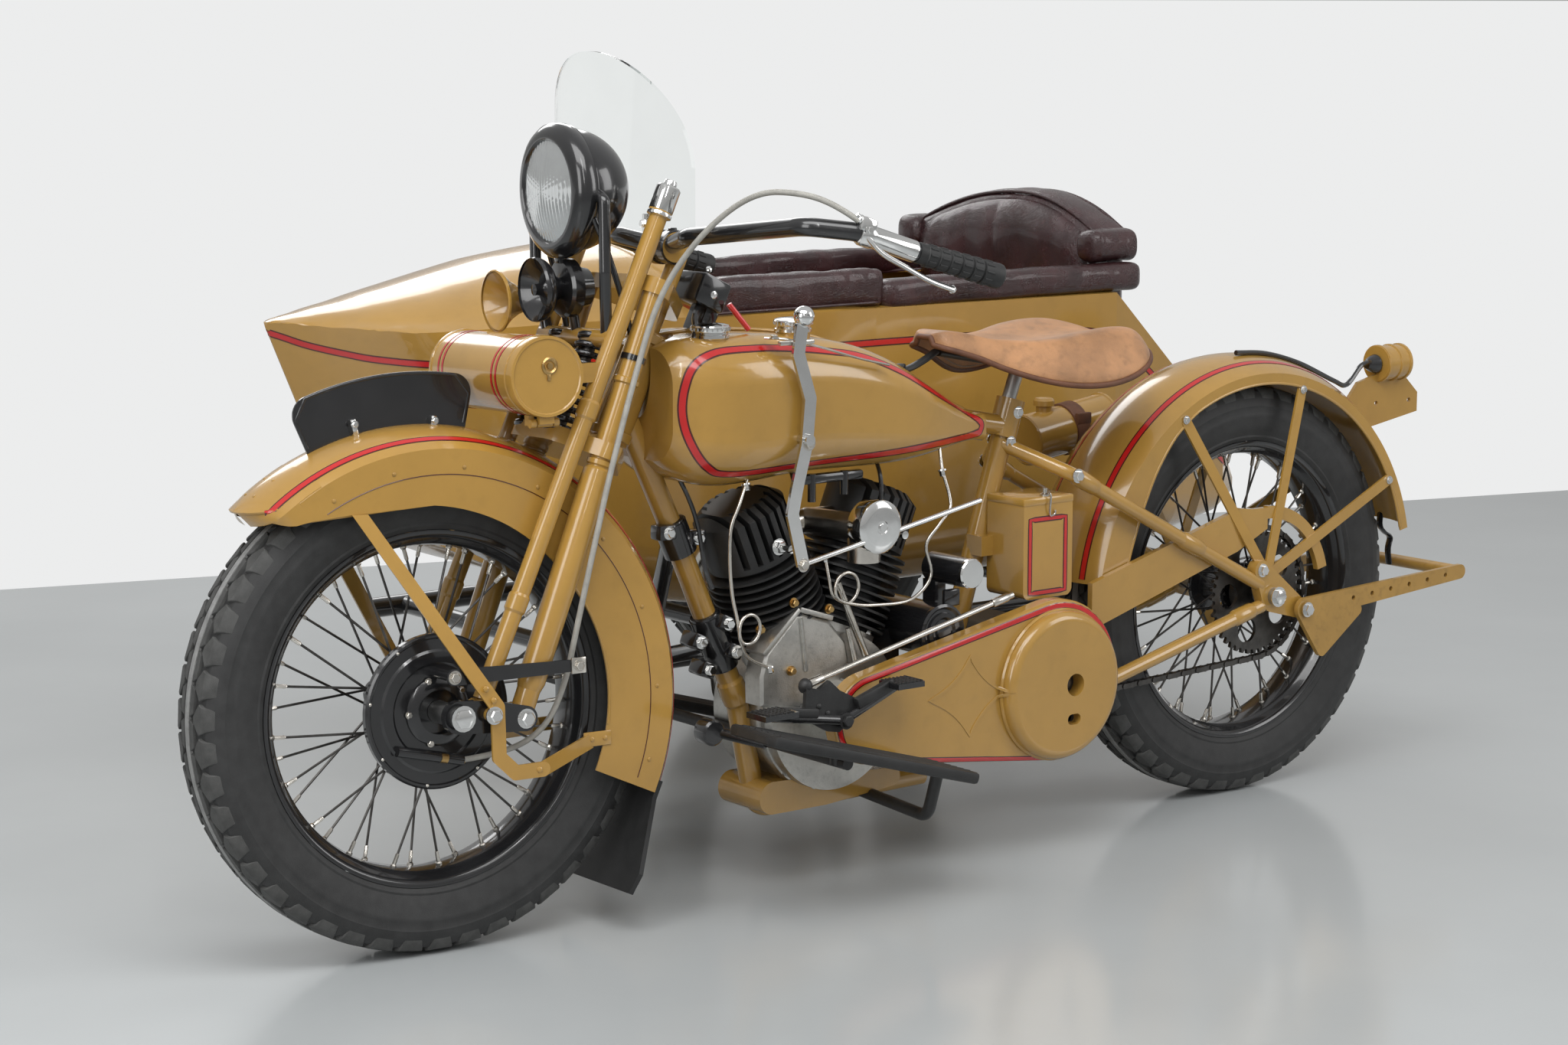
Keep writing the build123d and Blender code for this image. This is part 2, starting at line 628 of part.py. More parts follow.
def make_primary_cover():
    outline = hull([(CRANK_X - 12, CRANK_Z - 2, 66), (CLUTCH_X - 2, CLUTCH_Z + 5, 122)])
    cover = slab(outline, COVER_IN, COVER_OUT)
    cover = fillet(cover.faces().sort_by(Axis.Y)[-1].edges(), 8)
    dome = disc(CLUTCH_X, CLUTCH_Z, 112, COVER_OUT, COVER_OUT + 22)
    dome = fillet(dome.faces().sort_by(Axis.Y)[-1].edges(), 14)
    port = disc(CLUTCH_X - 18, CLUTCH_Z, 17, COVER_OUT - 2, COVER_OUT + 40)
    slot = slab(Pos(CLUTCH_X - 16, CLUTCH_Z - 52) * SlotOverall(26, 16), COVER_OUT + 8, COVER_OUT + 40)
    return cover + dome - port - slot


def make_exhaust(front_cylinder, rear_cylinder):
    front_line = [(951, -60, 470), (951, -124, 470), (905, -136, 250), (850, -145, 190), (640, -145, 190)]
    rear_line = [(773, -60, 470), (773, -124, 470), (735, -142, 230), (690, -145, 190), (630, -145, 190)]
    front = pipe(front_line, 30, 19)
    rear = pipe(rear_line, 26, 19)
    muffler = rod((650, -145, 190), (250, -145, 190), 30)
    tail = rod((260, -145, 190), (200, -145, 188), 14)
    return front + rear + muffler + tail - front_cylinder - rear_cylinder


def make_chain():
    outer = hull([(0, TYRE_R, CHAIN_REAR_R + CHAIN_T), (CLUTCH_X, CLUTCH_Z, CHAIN_FRONT_R + CHAIN_T)])
    inner = hull([(0, TYRE_R, CHAIN_REAR_R - CHAIN_T), (CLUTCH_X, CLUTCH_Z, CHAIN_FRONT_R - CHAIN_T)])
    return slab(outer - inner, CHAIN_Y - CHAIN_HALF, CHAIN_Y + CHAIN_HALF)


def make_chain_guard(rear_frame, rear_fender):
    guard_in = 82.5
    guard_t = 10
    run = Polygon((378, 316), (378, 388), (60, 474), (30, 470), (0, 470), (0, 436), (66, 406), align=None)
    arc = (Pos(0, TYRE_R) * Circle(142)) - (Pos(0, TYRE_R) * Circle(122))
    arc = arc & Polygon((0, TYRE_R), (0, 600), (-300, 600), (-300, 400), align=None)
    plate = slab(run + arc, guard_in, guard_in + guard_t)
    foot = disc(150, 420, 9, guard_in + guard_t - 2, STAY_Y)
    return plate + foot - rear_frame - rear_fender


# Tank, saddle and equipment

def lofted(sections, round_share):
    """Smooth hull along X through rounded sections (x, half width, low z, high z)."""
    faces = []
    for x, half, low, high in sections:
        radius = round_share * min(half, (high - low) / 2)
        faces.append(Plane(origin=(x, 0, (low + high) / 2), x_dir=(0, 1, 0), z_dir=(1, 0, 0))
                     * RectangleRounded(2 * half, high - low, radius))
    return loft(faces)


SADDLE_SEAT_Z = 695
SADDLE_NOSE_X = 606
SADDLE_NOSE_Z = 742
TANK_SECTIONS = (
    (548, 38, 614, 656),
    (700, 90, 606, 722),
    (840, 112, 603, 782),
    (980, 118, 600, 803),
    (1100, 112, 600, 806),
    (1158, 84, 636, 792),
)
SADDLE_SECTIONS = (
    (262, 80, 722, 752),
    (314, 148, 698, 776),
    (406, 150, 692, 788),
    (507, 104, 698, 782),
    (590, 58, 738, 800),
    (636, 34, 752, 784),
)


def make_tank(spine, front_frame):
    tank = lofted(TANK_SECTIONS, 0.62)
    clear = rod(head_point(560), head_point(900), HEAD_R + 5)
    for x in (1075, 930):
        tank = tank + Pos(x, 58, 803) * Cylinder(24, 24)
    return tank - spine - front_frame - clear


def make_saddle():
    saddle = lofted(SADDLE_SECTIONS, 0.7)
    seat_patch = Pos(370, 0, SADDLE_SEAT_Z - 50) * Box(400, 400, 100)
    nose_patch = Pos(SADDLE_NOSE_X, 0, SADDLE_NOSE_Z - 50) * Box(36, 200, 100)
    return saddle - seat_patch - nose_patch


def make_seat_post(spine):
    post = rod((472, 0, 650), (462, 0, 684), 11)
    pan = Pos(440, 0, SADDLE_SEAT_Z - 5) * Box(70, 60, 10)
    arm = Pos(370, 0, SADDLE_SEAT_Z - 14) * Box(180, 26, 12)
    cross = Pos(290, 0, SADDLE_SEAT_Z - 44) * Box(36, 210, 8)
    link = Pos(290, 0, SADDLE_SEAT_Z - 30) * Box(26, 26, 36)
    shape = post + pan + arm + cross + link
    for side in SIDES:
        coil = Cylinder(21, 40, align=(Align.CENTER, Align.CENTER, Align.MAX))
        shape = shape + Pos(290, side * 84, SADDLE_SEAT_Z) * coil
    nose_post = Cylinder(8, 36, align=(Align.CENTER, Align.CENTER, Align.MAX))
    nose = Pos(SADDLE_NOSE_X, 0, SADDLE_NOSE_Z) * nose_post
    nose = nose + rod((SADDLE_NOSE_X, 0, SADDLE_NOSE_Z - 30), (490, 0, 650), 8)
    return shape - spine, main_solid(nose - spine - shape)


def make_shift_lever(tank):
    lever_y = 128.5
    lever_t = 5
    line = ((969, 484), (988, 557), (980, 593), (963, 654), (957, 717), (978, 780), (972, 818))
    shape = None
    for start, end in zip(line, line[1:]):
        bar = slab(hull([(*start, 10), (*end, 10)]), lever_y, lever_y + lever_t)
        shape = bar if shape is None else shape + bar
    knob = Pos(968, lever_y + lever_t / 2, 832) * Sphere(15)
    pivot = rod((962, 90, 660), (962, lever_y + lever_t + 6, 660), 8)
    reach = rod((969, lever_y + 2, 484), (640, lever_y + 2, 545), 4)
    return main_solid(shape + knob + pivot + reach - tank)


def make_battery_box(spine):
    box = Pos(481, 63, 455) * Box(98, 82, 150)
    box = fillet(box.edges().filter_by(Axis.Y), 12)
    foot = Pos(530, 18, 455) * Box(44, 34, 30)
    return box + foot - spine


def make_footboards(front_frame, crankcase):
    rear = Vector(770, 0, 176)
    front = Vector(1135, 0, 280)
    run = front - rear
    middle = (rear + front) * 0.5
    shape = None
    for side in SIDES:
        board = Box(run.length, 105, 9)
        board = fillet(board.edges().filter_by(Axis.Z), 24)
        upward = Vector(0, 1, 0).cross(run) * -1
        board = Plane(origin=middle + Vector(0, side * 232, 0), x_dir=run, z_dir=upward) * board
        front_bar = rod((982, side * 8, 223), (982, side * 250, 223), 9)
        front_bar = front_bar + rod((982, side * 228, 218), (982, side * 228, 238), 12)
        rear_line = [(770, side * 20, CRADLE_Z), (795, side * 200, CRADLE_Z), (795, side * 222, 180)]
        rear_bar = pipe(rear_line, 24, 9)
        one = board + front_bar + rear_bar - front_frame - crankcase
        shape = one if shape is None else shape + one
    return shape


def make_clutch_pedal(crankcase):
    arm = pipe([(832, 170, 300), (925, 170, 263), (1052, 170, 284)], 20, 7)
    pivot = rod((925, CASE_HALF - 4, 263), (925, 176, 263), 9)
    toe = Pos(1058, 178, 290) * Box(58, 44, 8)
    heel = Pos(826, 178, 305) * Box(48, 44, 8)
    return arm + pivot + toe + heel - crankcase


def make_rear_fender(rear_frame):
    half = REAR_FENDER_HALF
    skirt_r = 335
    valance_r = 300
    ring = fender_ring(FENDER_R, half, skirt_r, 26, 8, 168)
    valance = fender_ring(FENDER_R, half, valance_r, 26, 8, 44)
    shape = Pos(REAR_AXLE) * (ring + valance)
    for side in SIDES:
        for x, z in ((175, 622), (-85, 651), (-294, 487)):
            shape = shape + strap((8, side * 101, 362), (x, side * (half - 1), z), 18, 4)
    return shape - rear_frame


def make_tail_lamp():
    lamp = rod((-402, 0, 668), (-346, 0, 668), 29)
    outline = Polygon((-262, 598), (-300, 640), (-352, 652), (-404, 652), (-446, 614), (-446, 582), (-310, 560),
                      align=None)
    plate = slab(outline, -3, 3)
    for x in PLATE_HOLES_X:
        plate = plate - disc(x, PLATE_HOLE_Z, PLATE_HOLE_R, -20, 20)
    return lamp + plate - Pos(REAR_AXLE) * disc(0, 0, FENDER_R, -200, 200)


def make_canister(rear_frame):
    drum = rod((80, -205, 590), (250, -205, 566), 40)
    post = rod((169, -100, 425), (169, -190, 560), 8)
    return drum + post - rear_frame


def make_rear_axle():
    axle = rod((0, -LUG_OUT - 14, TYRE_R), (0, LUG_OUT + 14, TYRE_R), AXLE_R)
    for side in SIDES:
        low = HUB_HALF + MOVE if side < 0 else CHAIN_Y + 9
        spacer = disc(0, TYRE_R, 15, min(side * low, side * LUG_IN), max(side * low, side * LUG_IN))
        nut = disc(0, TYRE_R, 14, *across(side, LUG_OUT, LUG_OUT + 10))
        axle = axle + spacer + nut
    return axle


def make_rear_stand():
    shape = rod((STAND_TIP_X, -STAND_Y - 4, STAND_TIP_Z), (STAND_TIP_X, STAND_Y + 4, STAND_TIP_Z), 10)
    for side in SIDES:
        leg = hull([(STAND_X, STAND_Z, 18), (STAND_TIP_X, STAND_TIP_Z, 12)])
        horn = hull([(STAND_X, STAND_Z, 18), (-100, 234, 11), (-180, 290, 10)])
        y_low = min(side * (STAND_Y - 4), side * (STAND_Y + 4))
        plate = slab(leg + horn, y_low, y_low + 8)
        for share in (0.3, 0.42, 0.54, 0.66, 0.78, 0.9):
            hole_x = STAND_X + (STAND_TIP_X - STAND_X) * share
            hole_z = STAND_Z + (STAND_TIP_Z - STAND_Z) * share
            plate = plate - disc(hole_x, hole_z, 4, y_low - 1, y_low + 9)
        shape = shape + plate
        pin = rod((STAND_X, side * 94, STAND_Z), (STAND_X, side * (STAND_Y + 8), STAND_Z), STAND_PIN_R)
        shape = shape + pin
    return shape


# Sidecar

BODY_SECTIONS = (
    # x, half width, low z, side top z, crown z, corner radius
    (1370, 26, 728, 764, 788, 14),
    (1300, 112, 600, 768, 812, 46),
    (1180, 185, 470, 776, 835, 80),
    (980, 245, 370, 782, 866, 90),
    (760, 276, 322, 780, 888, 90),
    (420, 284, 312, 775, 800, 90),
)
TAIL_SECTIONS = (
    # the same columns, from the middle of the cockpit to the tip of the tail
    (420, 284, 312, 775, 800, 90),
    (-110, 284, 312, 772, 790, 90),
    (-300, 248, 324, 616, 632, 80),
    (-470, 190, 345, 466, 480, 46),
    (-556, 130, 368, 398, 406, 14),
)


def body_section(x, half, low, side, crown, corner, inset):
    """Closed cross-section of the sidecar body, shrunk by an inset."""
    h = half - inset
    z0 = low + inset
    z1 = side
    top = crown - inset
    r = corner
    m = r * (1 - math.sqrt(0.5))
    lines = [
        Line((r - h, z0), (h - r, z0)),
        ThreePointArc((h - r, z0), (h - m, z0 + m), (h, z0 + r)),
        Line((h, z0 + r), (h, z1)),
        ThreePointArc((h, z1), (0, top), (-h, z1)),
        Line((-h, z1), (-h, z0 + r)),
        ThreePointArc((-h, z0 + r), (m - h, z0 + m), (r - h, z0)),
    ]
    return Plane(origin=(x, SIDECAR_Y, 0), x_dir=(0, 1, 0), z_dir=(1, 0, 0)) * make_face(lines)


def make_sidecar_body():
    outer = loft([body_section(*row, 0) for row in BODY_SECTIONS])
    outer = outer + loft([body_section(*row, 0) for row in TAIL_SECTIONS], ruled=True)
    inner = loft([body_section(*row, BODY_WALL) for row in BODY_SECTIONS[1:]])
    inner = inner + loft([body_section(*row, BODY_WALL) for row in TAIL_SECTIONS[:-1]], ruled=True)
    mouth = Pos((COCKPIT_FRONT + COCKPIT_REAR) / 2, SIDECAR_Y, 800) * Box(
        COCKPIT_FRONT - COCKPIT_REAR, 2 * COCKPIT_HALF, 300)
    mouth = fillet(mouth.edges().filter_by(Axis.Z), 90)
    return outer - inner - mouth



PAD_TOP = 822


def make_sidecar_seat():
    floor = BODY_SECTIONS[-1][2] + BODY_WALL + SEAT
    cushion = Pos(120, SIDECAR_Y, floor) * Box(440, 470, 150, align=(Align.CENTER, Align.CENTER, Align.MIN))
    cushion = fillet(cushion.faces().sort_by(Axis.Z)[-1].edges(), 28)
    board = Pos(COCKPIT_REAR + 29, SIDECAR_Y, 0) * extrude(
        Plane.YZ * (Pos(0, 590) * RectangleRounded(2 * 180, 490, 60)), amount=21, both=True)
    half = 268
    low, side, high = PAD_TOP + SEAT, 868, 938
    lines = [
        Line((-half, low), (half, low)), Line((half, low), (half, side)),
        ThreePointArc((half, side), (0, high), (-half, side)), Line((-half, side), (-half, low))]
    bolster = extrude(Plane.YZ * make_face(lines), amount=96)
    bolster = Pos(COCKPIT_REAR - 66, SIDECAR_Y, 0) * fillet(bolster.edges(), 20)
    fill_half = 232
    fill = Pos(COCKPIT_REAR - 18, SIDECAR_Y, 780) * Box(92, 2 * fill_half, 100)
    return cushion, board + bolster + fill


def make_coaming_pads(body):
    shape = None
    for side in SIDES:
        y = SIDECAR_Y + side * 262
        front = Pos(590, y - side * 3, 807) * Box(376, 46, 62)
        front = fillet(front.faces().sort_by(Axis.Z)[-1].edges(), 20)
        arm = Pos(105, y, PAD_TOP - 26) * Box(578, 50, 52)
        arm = fillet(arm.faces().sort_by(Axis.Z)[-1].edges(), 22)
        one = main_solid(front - body) + main_solid(arm - body)
        shape = one if shape is None else shape + one
    return shape


def make_windshield():
    low = 893
    high = 1182
    half = 190
    corner = 186
    bow_r = 322
    sheet_t = 6
    height = 2 * (high - low)
    ring = Circle(bow_r) - Circle(bow_r - sheet_t)
    sheet = extrude(Pos(780 - bow_r, SIDECAR_Y, low) * ring, amount=high - low + 20)
    front = Plane(origin=(900, SIDECAR_Y, low), x_dir=(0, 1, 0), z_dir=(1, 0, 0))
    arch = extrude(front * RectangleRounded(2 * half, height, corner), amount=-420)
    return main_solid(sheet & arch)


def make_windshield_posts(windshield, body):
    shape = None
    for side in SIDES:
        y = SIDECAR_Y + side * 120
        post = main_solid(rod((752, y, 862), (752, y, 930), 9) - windshield - body)
        shape = post if shape is None else shape + post
    return shape


def make_sidecar_chassis(front_frame, rear_frame):
    rail_ends = (1010, -420)
    shape = None
    for y in (RAIL_LEFT_Y, RAIL_RIGHT_Y):
        rail = rod((rail_ends[0], y, RAIL_Z), (rail_ends[1], y, RAIL_Z), RAIL_R)
        shape = rail if shape is None else shape + rail
    for x in CROSS_X:
        shape = shape + rod((x, RAIL_LEFT_Y, RAIL_Z), (x, RAIL_RIGHT_Y, RAIL_Z), CROSS_R)
    lug = hull([(SIDECAR_WHEEL_X, TYRE_R, 26), (SIDECAR_WHEEL_X, RAIL_Z, 34)])
    lug = slab(lug, RAIL_RIGHT_Y - 22, RAIL_RIGHT_Y + 4)
    axle_in = (SIDECAR_WHEEL_X, RAIL_RIGHT_Y - 10, TYRE_R)
    axle_out = (SIDECAR_WHEEL_X, SIDECAR_WHEEL_Y - 62, TYRE_R)
    axle = rod(axle_in, axle_out, AXLE_R)
    shape = shape + lug + axle
    links = (
        ((1094, -10, 520), (900, RAIL_LEFT_Y, RAIL_Z)),
        ((1030, -10, 352), (930, RAIL_LEFT_Y, RAIL_Z)),
        ((27, 6 - LUG_OUT, 374), (-20, RAIL_LEFT_Y, RAIL_Z)),
    )
    for start, end in links:
        shape = shape + rod(start, end, 13)
    clamp_low = rod((1020, 0, 350), (1042, 0, 400), 24)
    clamp_high = rod((1084, 0, 496), (1104, 0, 540), 24)
    return shape + clamp_low + clamp_high - front_frame - rear_frame


def make_sidecar_springs(chassis, body):
    shape = None
    for side in SIDES:
        for x in CROSS_X[1:3]:
            block = Pos(x, SIDECAR_Y + side * 150, RAIL_Z + 27) * Box(56, 60, 54)
            shape = block if shape is None else shape + block
    return shape - chassis - body


def make_sidecar_fender(chassis):
    ring = fender_ring(FENDER_R, 75, 335, 26, 15, 165)
    shape = Pos(SIDECAR_AXLE) * ring
    for x, z in ((270, 570), (-260, 570)):
        root = (SIDECAR_WHEEL_X + x / 9, RAIL_RIGHT_Y - 14, 300)
        shape = shape + strap(root, (x, SIDECAR_WHEEL_Y + 74, z), 18, 5)
    return shape - chassis


def make_nodes():
    nodes = {}
    front_frame = make_front_frame()
    spine = make_spine(front_frame)
    rear_frame = make_rear_frame(spine, front_frame)
    nodes["front_frame"] = front_frame
    nodes["frame_spine"] = spine
    nodes["rear_frame"] = rear_frame
    nodes["rear_axle"] = make_rear_axle()

    crankcase = make_crankcase(front_frame)
    front_cylinder = make_cylinder(1, crankcase, front_frame)
    rear_cylinder = make_cylinder(-1, crankcase, front_frame)
    nodes["crankcase"] = crankcase
    nodes["front_cylinder"] = front_cylinder
    nodes["rear_cylinder"] = rear_cylinder
    nodes["intake"] = make_intake(front_cylinder, rear_cylinder)
    nodes["generator"] = make_generator(crankcase, rear_cylinder)
    nodes["gearbox"] = make_gearbox(rear_frame, spine)
    nodes["primary_cover"] = make_primary_cover()
    nodes["exhaust"] = make_exhaust(front_cylinder, rear_cylinder)
    nodes["drive_chain"] = make_chain()
    rear_fender = make_rear_fender(rear_frame)
    nodes["chain_guard"] = main_solid(make_chain_guard(rear_frame, rear_fender))

    tank = make_tank(spine, front_frame)
    saddle = make_saddle()
    nodes["fuel_tank"] = tank
    nodes["saddle"] = saddle
    seat_post, nose_stay = make_seat_post(spine)
    nodes["seat_post"] = seat_post + nose_stay - tank
    nodes["shift_lever"] = make_shift_lever(tank)
    nodes["battery_box"] = make_battery_box(spine)
    nodes["footboards"] = make_footboards(front_frame, crankcase)
    nodes["clutch_pedal"] = make_clutch_pedal(crankcase)
    nodes["rear_fender"] = rear_fender
    nodes["tail_lamp"] = make_tail_lamp()
    nodes["canister"] = make_canister(rear_frame)
    nodes["rear_stand"] = make_rear_stand()

    body = make_sidecar_body()
    cushion, back = make_sidecar_seat()
    chassis = make_sidecar_chassis(front_frame, rear_frame)
    windshield = make_windshield()
    nodes["sidecar_body"] = body
    nodes["sidecar_seat"] = main_solid(cushion - body)
    nodes["sidecar_seat_back"] = main_solid(back - body - cushion)
    nodes["coaming_pads"] = make_coaming_pads(body)
    nodes["windshield"] = windshield
    nodes["windshield_posts"] = make_windshield_posts(windshield, body)
    nodes["sidecar_chassis"] = chassis
    nodes["sidecar_springs"] = make_sidecar_springs(chassis, body)
    nodes["sidecar_fender"] = make_sidecar_fender(chassis)

    wheel = make_wire_wheel()
    nodes["rear_tyre"] = make_tyre(REAR_AXLE)
    nodes["rear_wheel"] = Pos(REAR_AXLE) * wheel
    nodes["rear_sprocket"] = make_sprocket()
    nodes["sidecar_tyre"] = make_tyre(SIDECAR_AXLE)
    nodes["sidecar_wheel"] = Pos(SIDECAR_AXLE) * wheel

    rigid_fork = make_rigid_fork()
    spring_fork = make_spring_fork()
    handlebar = make_handlebar()
    rigid_fork = rigid_fork - handlebar - spring_fork
    headlamp = make_headlamp()
    front_axle = make_front_axle()
    rockers = make_rockers()
    grips = make_grips(handlebar)
    front_brake = make_front_brake()
    front_fender = main_solid(make_front_fender() - spring_fork - rockers)
    fork_nodes = {
        "rigid_fork": rigid_fork,
        "spring_fork": spring_fork,
        "fork_springs": make_fork_springs(rigid_fork, spring_fork),
        "rockers": rockers,
        "front_axle": front_axle,
        "front_fender": front_fender,
        "fender_plate": make_fender_plate(),
        "mud_flap": make_mud_flap(front_fender),
        "toolbox": make_toolbox(spring_fork),
        "toolbox_lid": make_toolbox_lid(),
        "horn": make_horn(spring_fork),
        "headlamp": headlamp,
        "lamp_brackets": make_lamp_brackets(headlamp, spring_fork),
        "handlebar": handlebar,
        "grips": grips,
        "brake_lever": make_brake_lever(handlebar, grips),
        "brake_cable": make_brake_cable(front_brake),
        "front_brake": front_brake,
        "front_tyre": make_tyre(FRONT_AXLE),
        "front_wheel": Pos(FRONT_AXLE) * wheel,
    }
    for name, shape in fork_nodes.items():
        nodes[name] = steered(shape)
    return nodes


os.makedirs("parts", exist_ok=True)
TO_PLAN_MIDDLE = Pos(-PLAN_MID_X, -PLAN_MID_Y, 0)
for node_name, node_shape in make_nodes().items():
    export_step(TO_PLAN_MIDDLE * node_shape, f"parts/{node_name}.step")
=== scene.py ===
import bisect
import math

import bmesh
import bpy
from mathutils import Matrix, Vector, noise
from mathutils.bvhtree import BVHTree


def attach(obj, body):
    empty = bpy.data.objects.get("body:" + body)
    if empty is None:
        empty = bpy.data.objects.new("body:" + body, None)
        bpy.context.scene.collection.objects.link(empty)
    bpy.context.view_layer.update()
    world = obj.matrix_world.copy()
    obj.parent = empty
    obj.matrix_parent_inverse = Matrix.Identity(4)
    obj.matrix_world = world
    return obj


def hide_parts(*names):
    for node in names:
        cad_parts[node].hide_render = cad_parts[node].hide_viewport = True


# Dressing of the sidecar motorcycle. Pieces are made in millimetres in the frame of the part's
# source (X forward, Y left, Z up, zero on the ground below the rear axle) and turned to metres.

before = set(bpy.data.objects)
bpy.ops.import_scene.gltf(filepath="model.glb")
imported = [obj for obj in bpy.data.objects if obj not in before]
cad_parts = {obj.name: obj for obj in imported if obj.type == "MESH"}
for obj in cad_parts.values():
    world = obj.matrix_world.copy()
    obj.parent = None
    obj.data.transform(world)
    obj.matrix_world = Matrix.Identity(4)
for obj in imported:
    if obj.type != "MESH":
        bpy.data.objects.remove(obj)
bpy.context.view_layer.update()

PLAN_MID = Vector((640, -385, 0))
HEAD = Vector((1190, 0, 700))
HEAD_UP = Vector((-math.sin(math.radians(26)), 0, math.cos(math.radians(26))))
STEER_REST = math.radians(-6.5)
BIKE = Matrix.Scale(0.001, 4) @ Matrix.Translation(-PLAN_MID)
TURN = Matrix.Translation(HEAD) @ Matrix.Rotation(STEER_REST, 4, HEAD_UP) @ Matrix.Translation(-HEAD)
FORK = BIKE @ TURN
WHEELBASE, AXLE_Z, SIDECAR_Y = 1511, 330, -660
FRONT_AXLE = Vector((WHEELBASE, 0, AXLE_Z))
REAR_AXLE = Vector((0, 0, AXLE_Z))
SIDE_AXLE = Vector((5, -1118, AXLE_Z))
FORK_BODIES = ("fork", "tool_lid", "front_roller")
X, Y, Z = Vector((1, 0, 0)), Vector((0, 1, 0)), Vector((0, 0, 1))
SIDES = ((1, "left"), (-1, "right"))
CRANK = Vector((860, 0, 250))
CLUTCH = Vector((492, 0, 255))
TOOL_DRUM = Vector((1362, 0, 768))
LAMP = Vector((1278, 0, 1009))
FRAME_TOP, FRAME_FOOT = Vector((1103, 0, 538)), Vector((985, 0, 270))
TAIL_LAMP = Vector((-402, 0, 668))
CYLINDER_LEAN = math.radians(22.5)
FORK_Y = 97
FRONT_FENDER_R, FENDER_R, SKIRT_R = 372, 376, 336
FRONT_FENDER_SIDE, REAR_FENDER_SIDE, SIDECAR_FENDER_SIDE = 75, 79, 74
FOOTBOARD_REAR, FOOTBOARD_FRONT, FOOTBOARD_Y = Vector((770, 0, 176)), Vector((1135, 0, 280)), 232
CANISTER_REAR, CANISTER_FRONT = Vector((80, -205, 590)), Vector((250, -205, 566))

CAMERA_AT, CAMERA_LENS, CAMERA_SENSOR = (3.16158, 4.10689, 1.27023), 76.235, 36
CAMERA_YAW, CAMERA_PITCH, CAMERA_ROLL = (math.radians(a) for a in (-127.9385, -9.0224, 0.0945))
FLOOR_HALF, FLOOR_DROP = 4000, 0.0005
FLOOR_TONES = (0.40, 0.42, 0.425), (0.50, 0.52, 0.525)
WALL_TONE = (0.84, 0.845, 0.845, 1)
WALL_START, WALL_END = Vector((0.157, -2.501)), Vector((-3.714, -1.389))
ROOM_TONES, ROOM_STRENGTH = ((0.62, 0.62, 0.61), (0.95, 0.95, 0.95)), 0.62


# Camera, floor and light

def make_camera():
    data = bpy.data.cameras.new("camera")
    data.sensor_width = CAMERA_SENSOR
    data.lens = CAMERA_LENS
    cam = bpy.data.objects.new("camera", data)
    bpy.context.scene.collection.objects.link(cam)
    flat = math.cos(CAMERA_PITCH)
    look = Vector((flat * math.cos(CAMERA_YAW), flat * math.sin(CAMERA_YAW), math.sin(CAMERA_PITCH)))
    turn = look.to_track_quat("-Z", "Y").to_matrix().to_4x4() @ Matrix.Rotation(CAMERA_ROLL, 4, "Z")
    cam.matrix_world = Matrix.Translation(CAMERA_AT) @ turn
    bpy.context.scene.camera = cam


def link(tree, a, a_out, b, b_in):
    tree.links.new(a.outputs[a_out], b.inputs[b_in])


def new_node(tree, kind, inputs=None, **settings):
    """New shader node with its settings and the values of its free inputs."""
    made = tree.nodes.new(f"ShaderNode{kind}")
    for key, value in settings.items():
        setattr(made, key, value)
    for key, value in (inputs or {}).items():
        made.inputs[key].default_value = value
    return made


def ramp(tree, low, high, places=(0.0, 1.0)):
    """Colour ramp between two colours."""
    made = new_node(tree, "ValToRGB")
    for stop, colour, place in zip(made.color_ramp.elements, (low, high), places):
        stop.position = place
        stop.color = (*colour, 1)
    return made


def make_stage():
    """Pale floor, white beyond the line where the room's wall stands."""
    mesh = bpy.data.meshes.new("floor")
    s = FLOOR_HALF
    mesh.from_pydata([(-s, -s, 0), (s, -s, 0), (s, s, 0), (-s, s, 0)], [], [(0, 1, 2, 3)])
    floor = bpy.data.objects.new("floor", mesh)
    floor.location = (0, 0, -FLOOR_DROP)
    bpy.context.scene.collection.objects.link(floor)
    mat = bpy.data.materials.new("floor")
    mat.use_nodes = True
    tree = mat.node_tree
    shader = tree.nodes["Principled BSDF"]
    shader.inputs["Roughness"].default_value = 0.16
    shader.inputs["Specular IOR Level"].default_value = 0.6
    coords = new_node(tree, "TexCoord")
    grain = new_node(tree, "TexNoise", {"Scale": 1.6, "Detail": 6})
    tone = ramp(tree, *FLOOR_TONES)
    link(tree, coords, "Object", grain, "Vector")
    link(tree, grain, "Fac", tone, "Fac")
    link(tree, tone, "Color", shader, "Base Color")
    along = (WALL_END - WALL_START).normalized()
    across = new_node(tree, "VectorMath", {1: (along.y, -along.x, 0)}, operation="DOT_PRODUCT")
    beyond = new_node(tree, "Math", {1: WALL_START.x * along.y - WALL_START.y * along.x},
                      operation="LESS_THAN")
    link(tree, coords, "Object", across, 0)
    link(tree, across, "Value", beyond, 0)
    rays = new_node(tree, "LightPath")
    seen, clear = (new_node(tree, "Math", operation="MAXIMUM") for _ in range(2))
    link(tree, rays, "Is Camera Ray", seen, 0)
    link(tree, rays, "Is Glossy Ray", seen, 1)
    link(tree, seen, "Value", clear, 0)
    link(tree, rays, "Is Transmission Ray", clear, 1)
    both = new_node(tree, "Math", operation="MULTIPLY")
    link(tree, clear, "Value", both, 0)
    link(tree, beyond, "Value", both, 1)
    mix = new_node(tree, "MixShader")
    link(tree, both, "Value", mix, 0)
    link(tree, shader, "BSDF", mix, 1)
    link(tree, new_node(tree, "Emission", {"Color": WALL_TONE}), "Emission", mix, 2)
    link(tree, mix, "Shader", tree.nodes["Material Output"], "Surface")
    mesh.materials.append(mat)


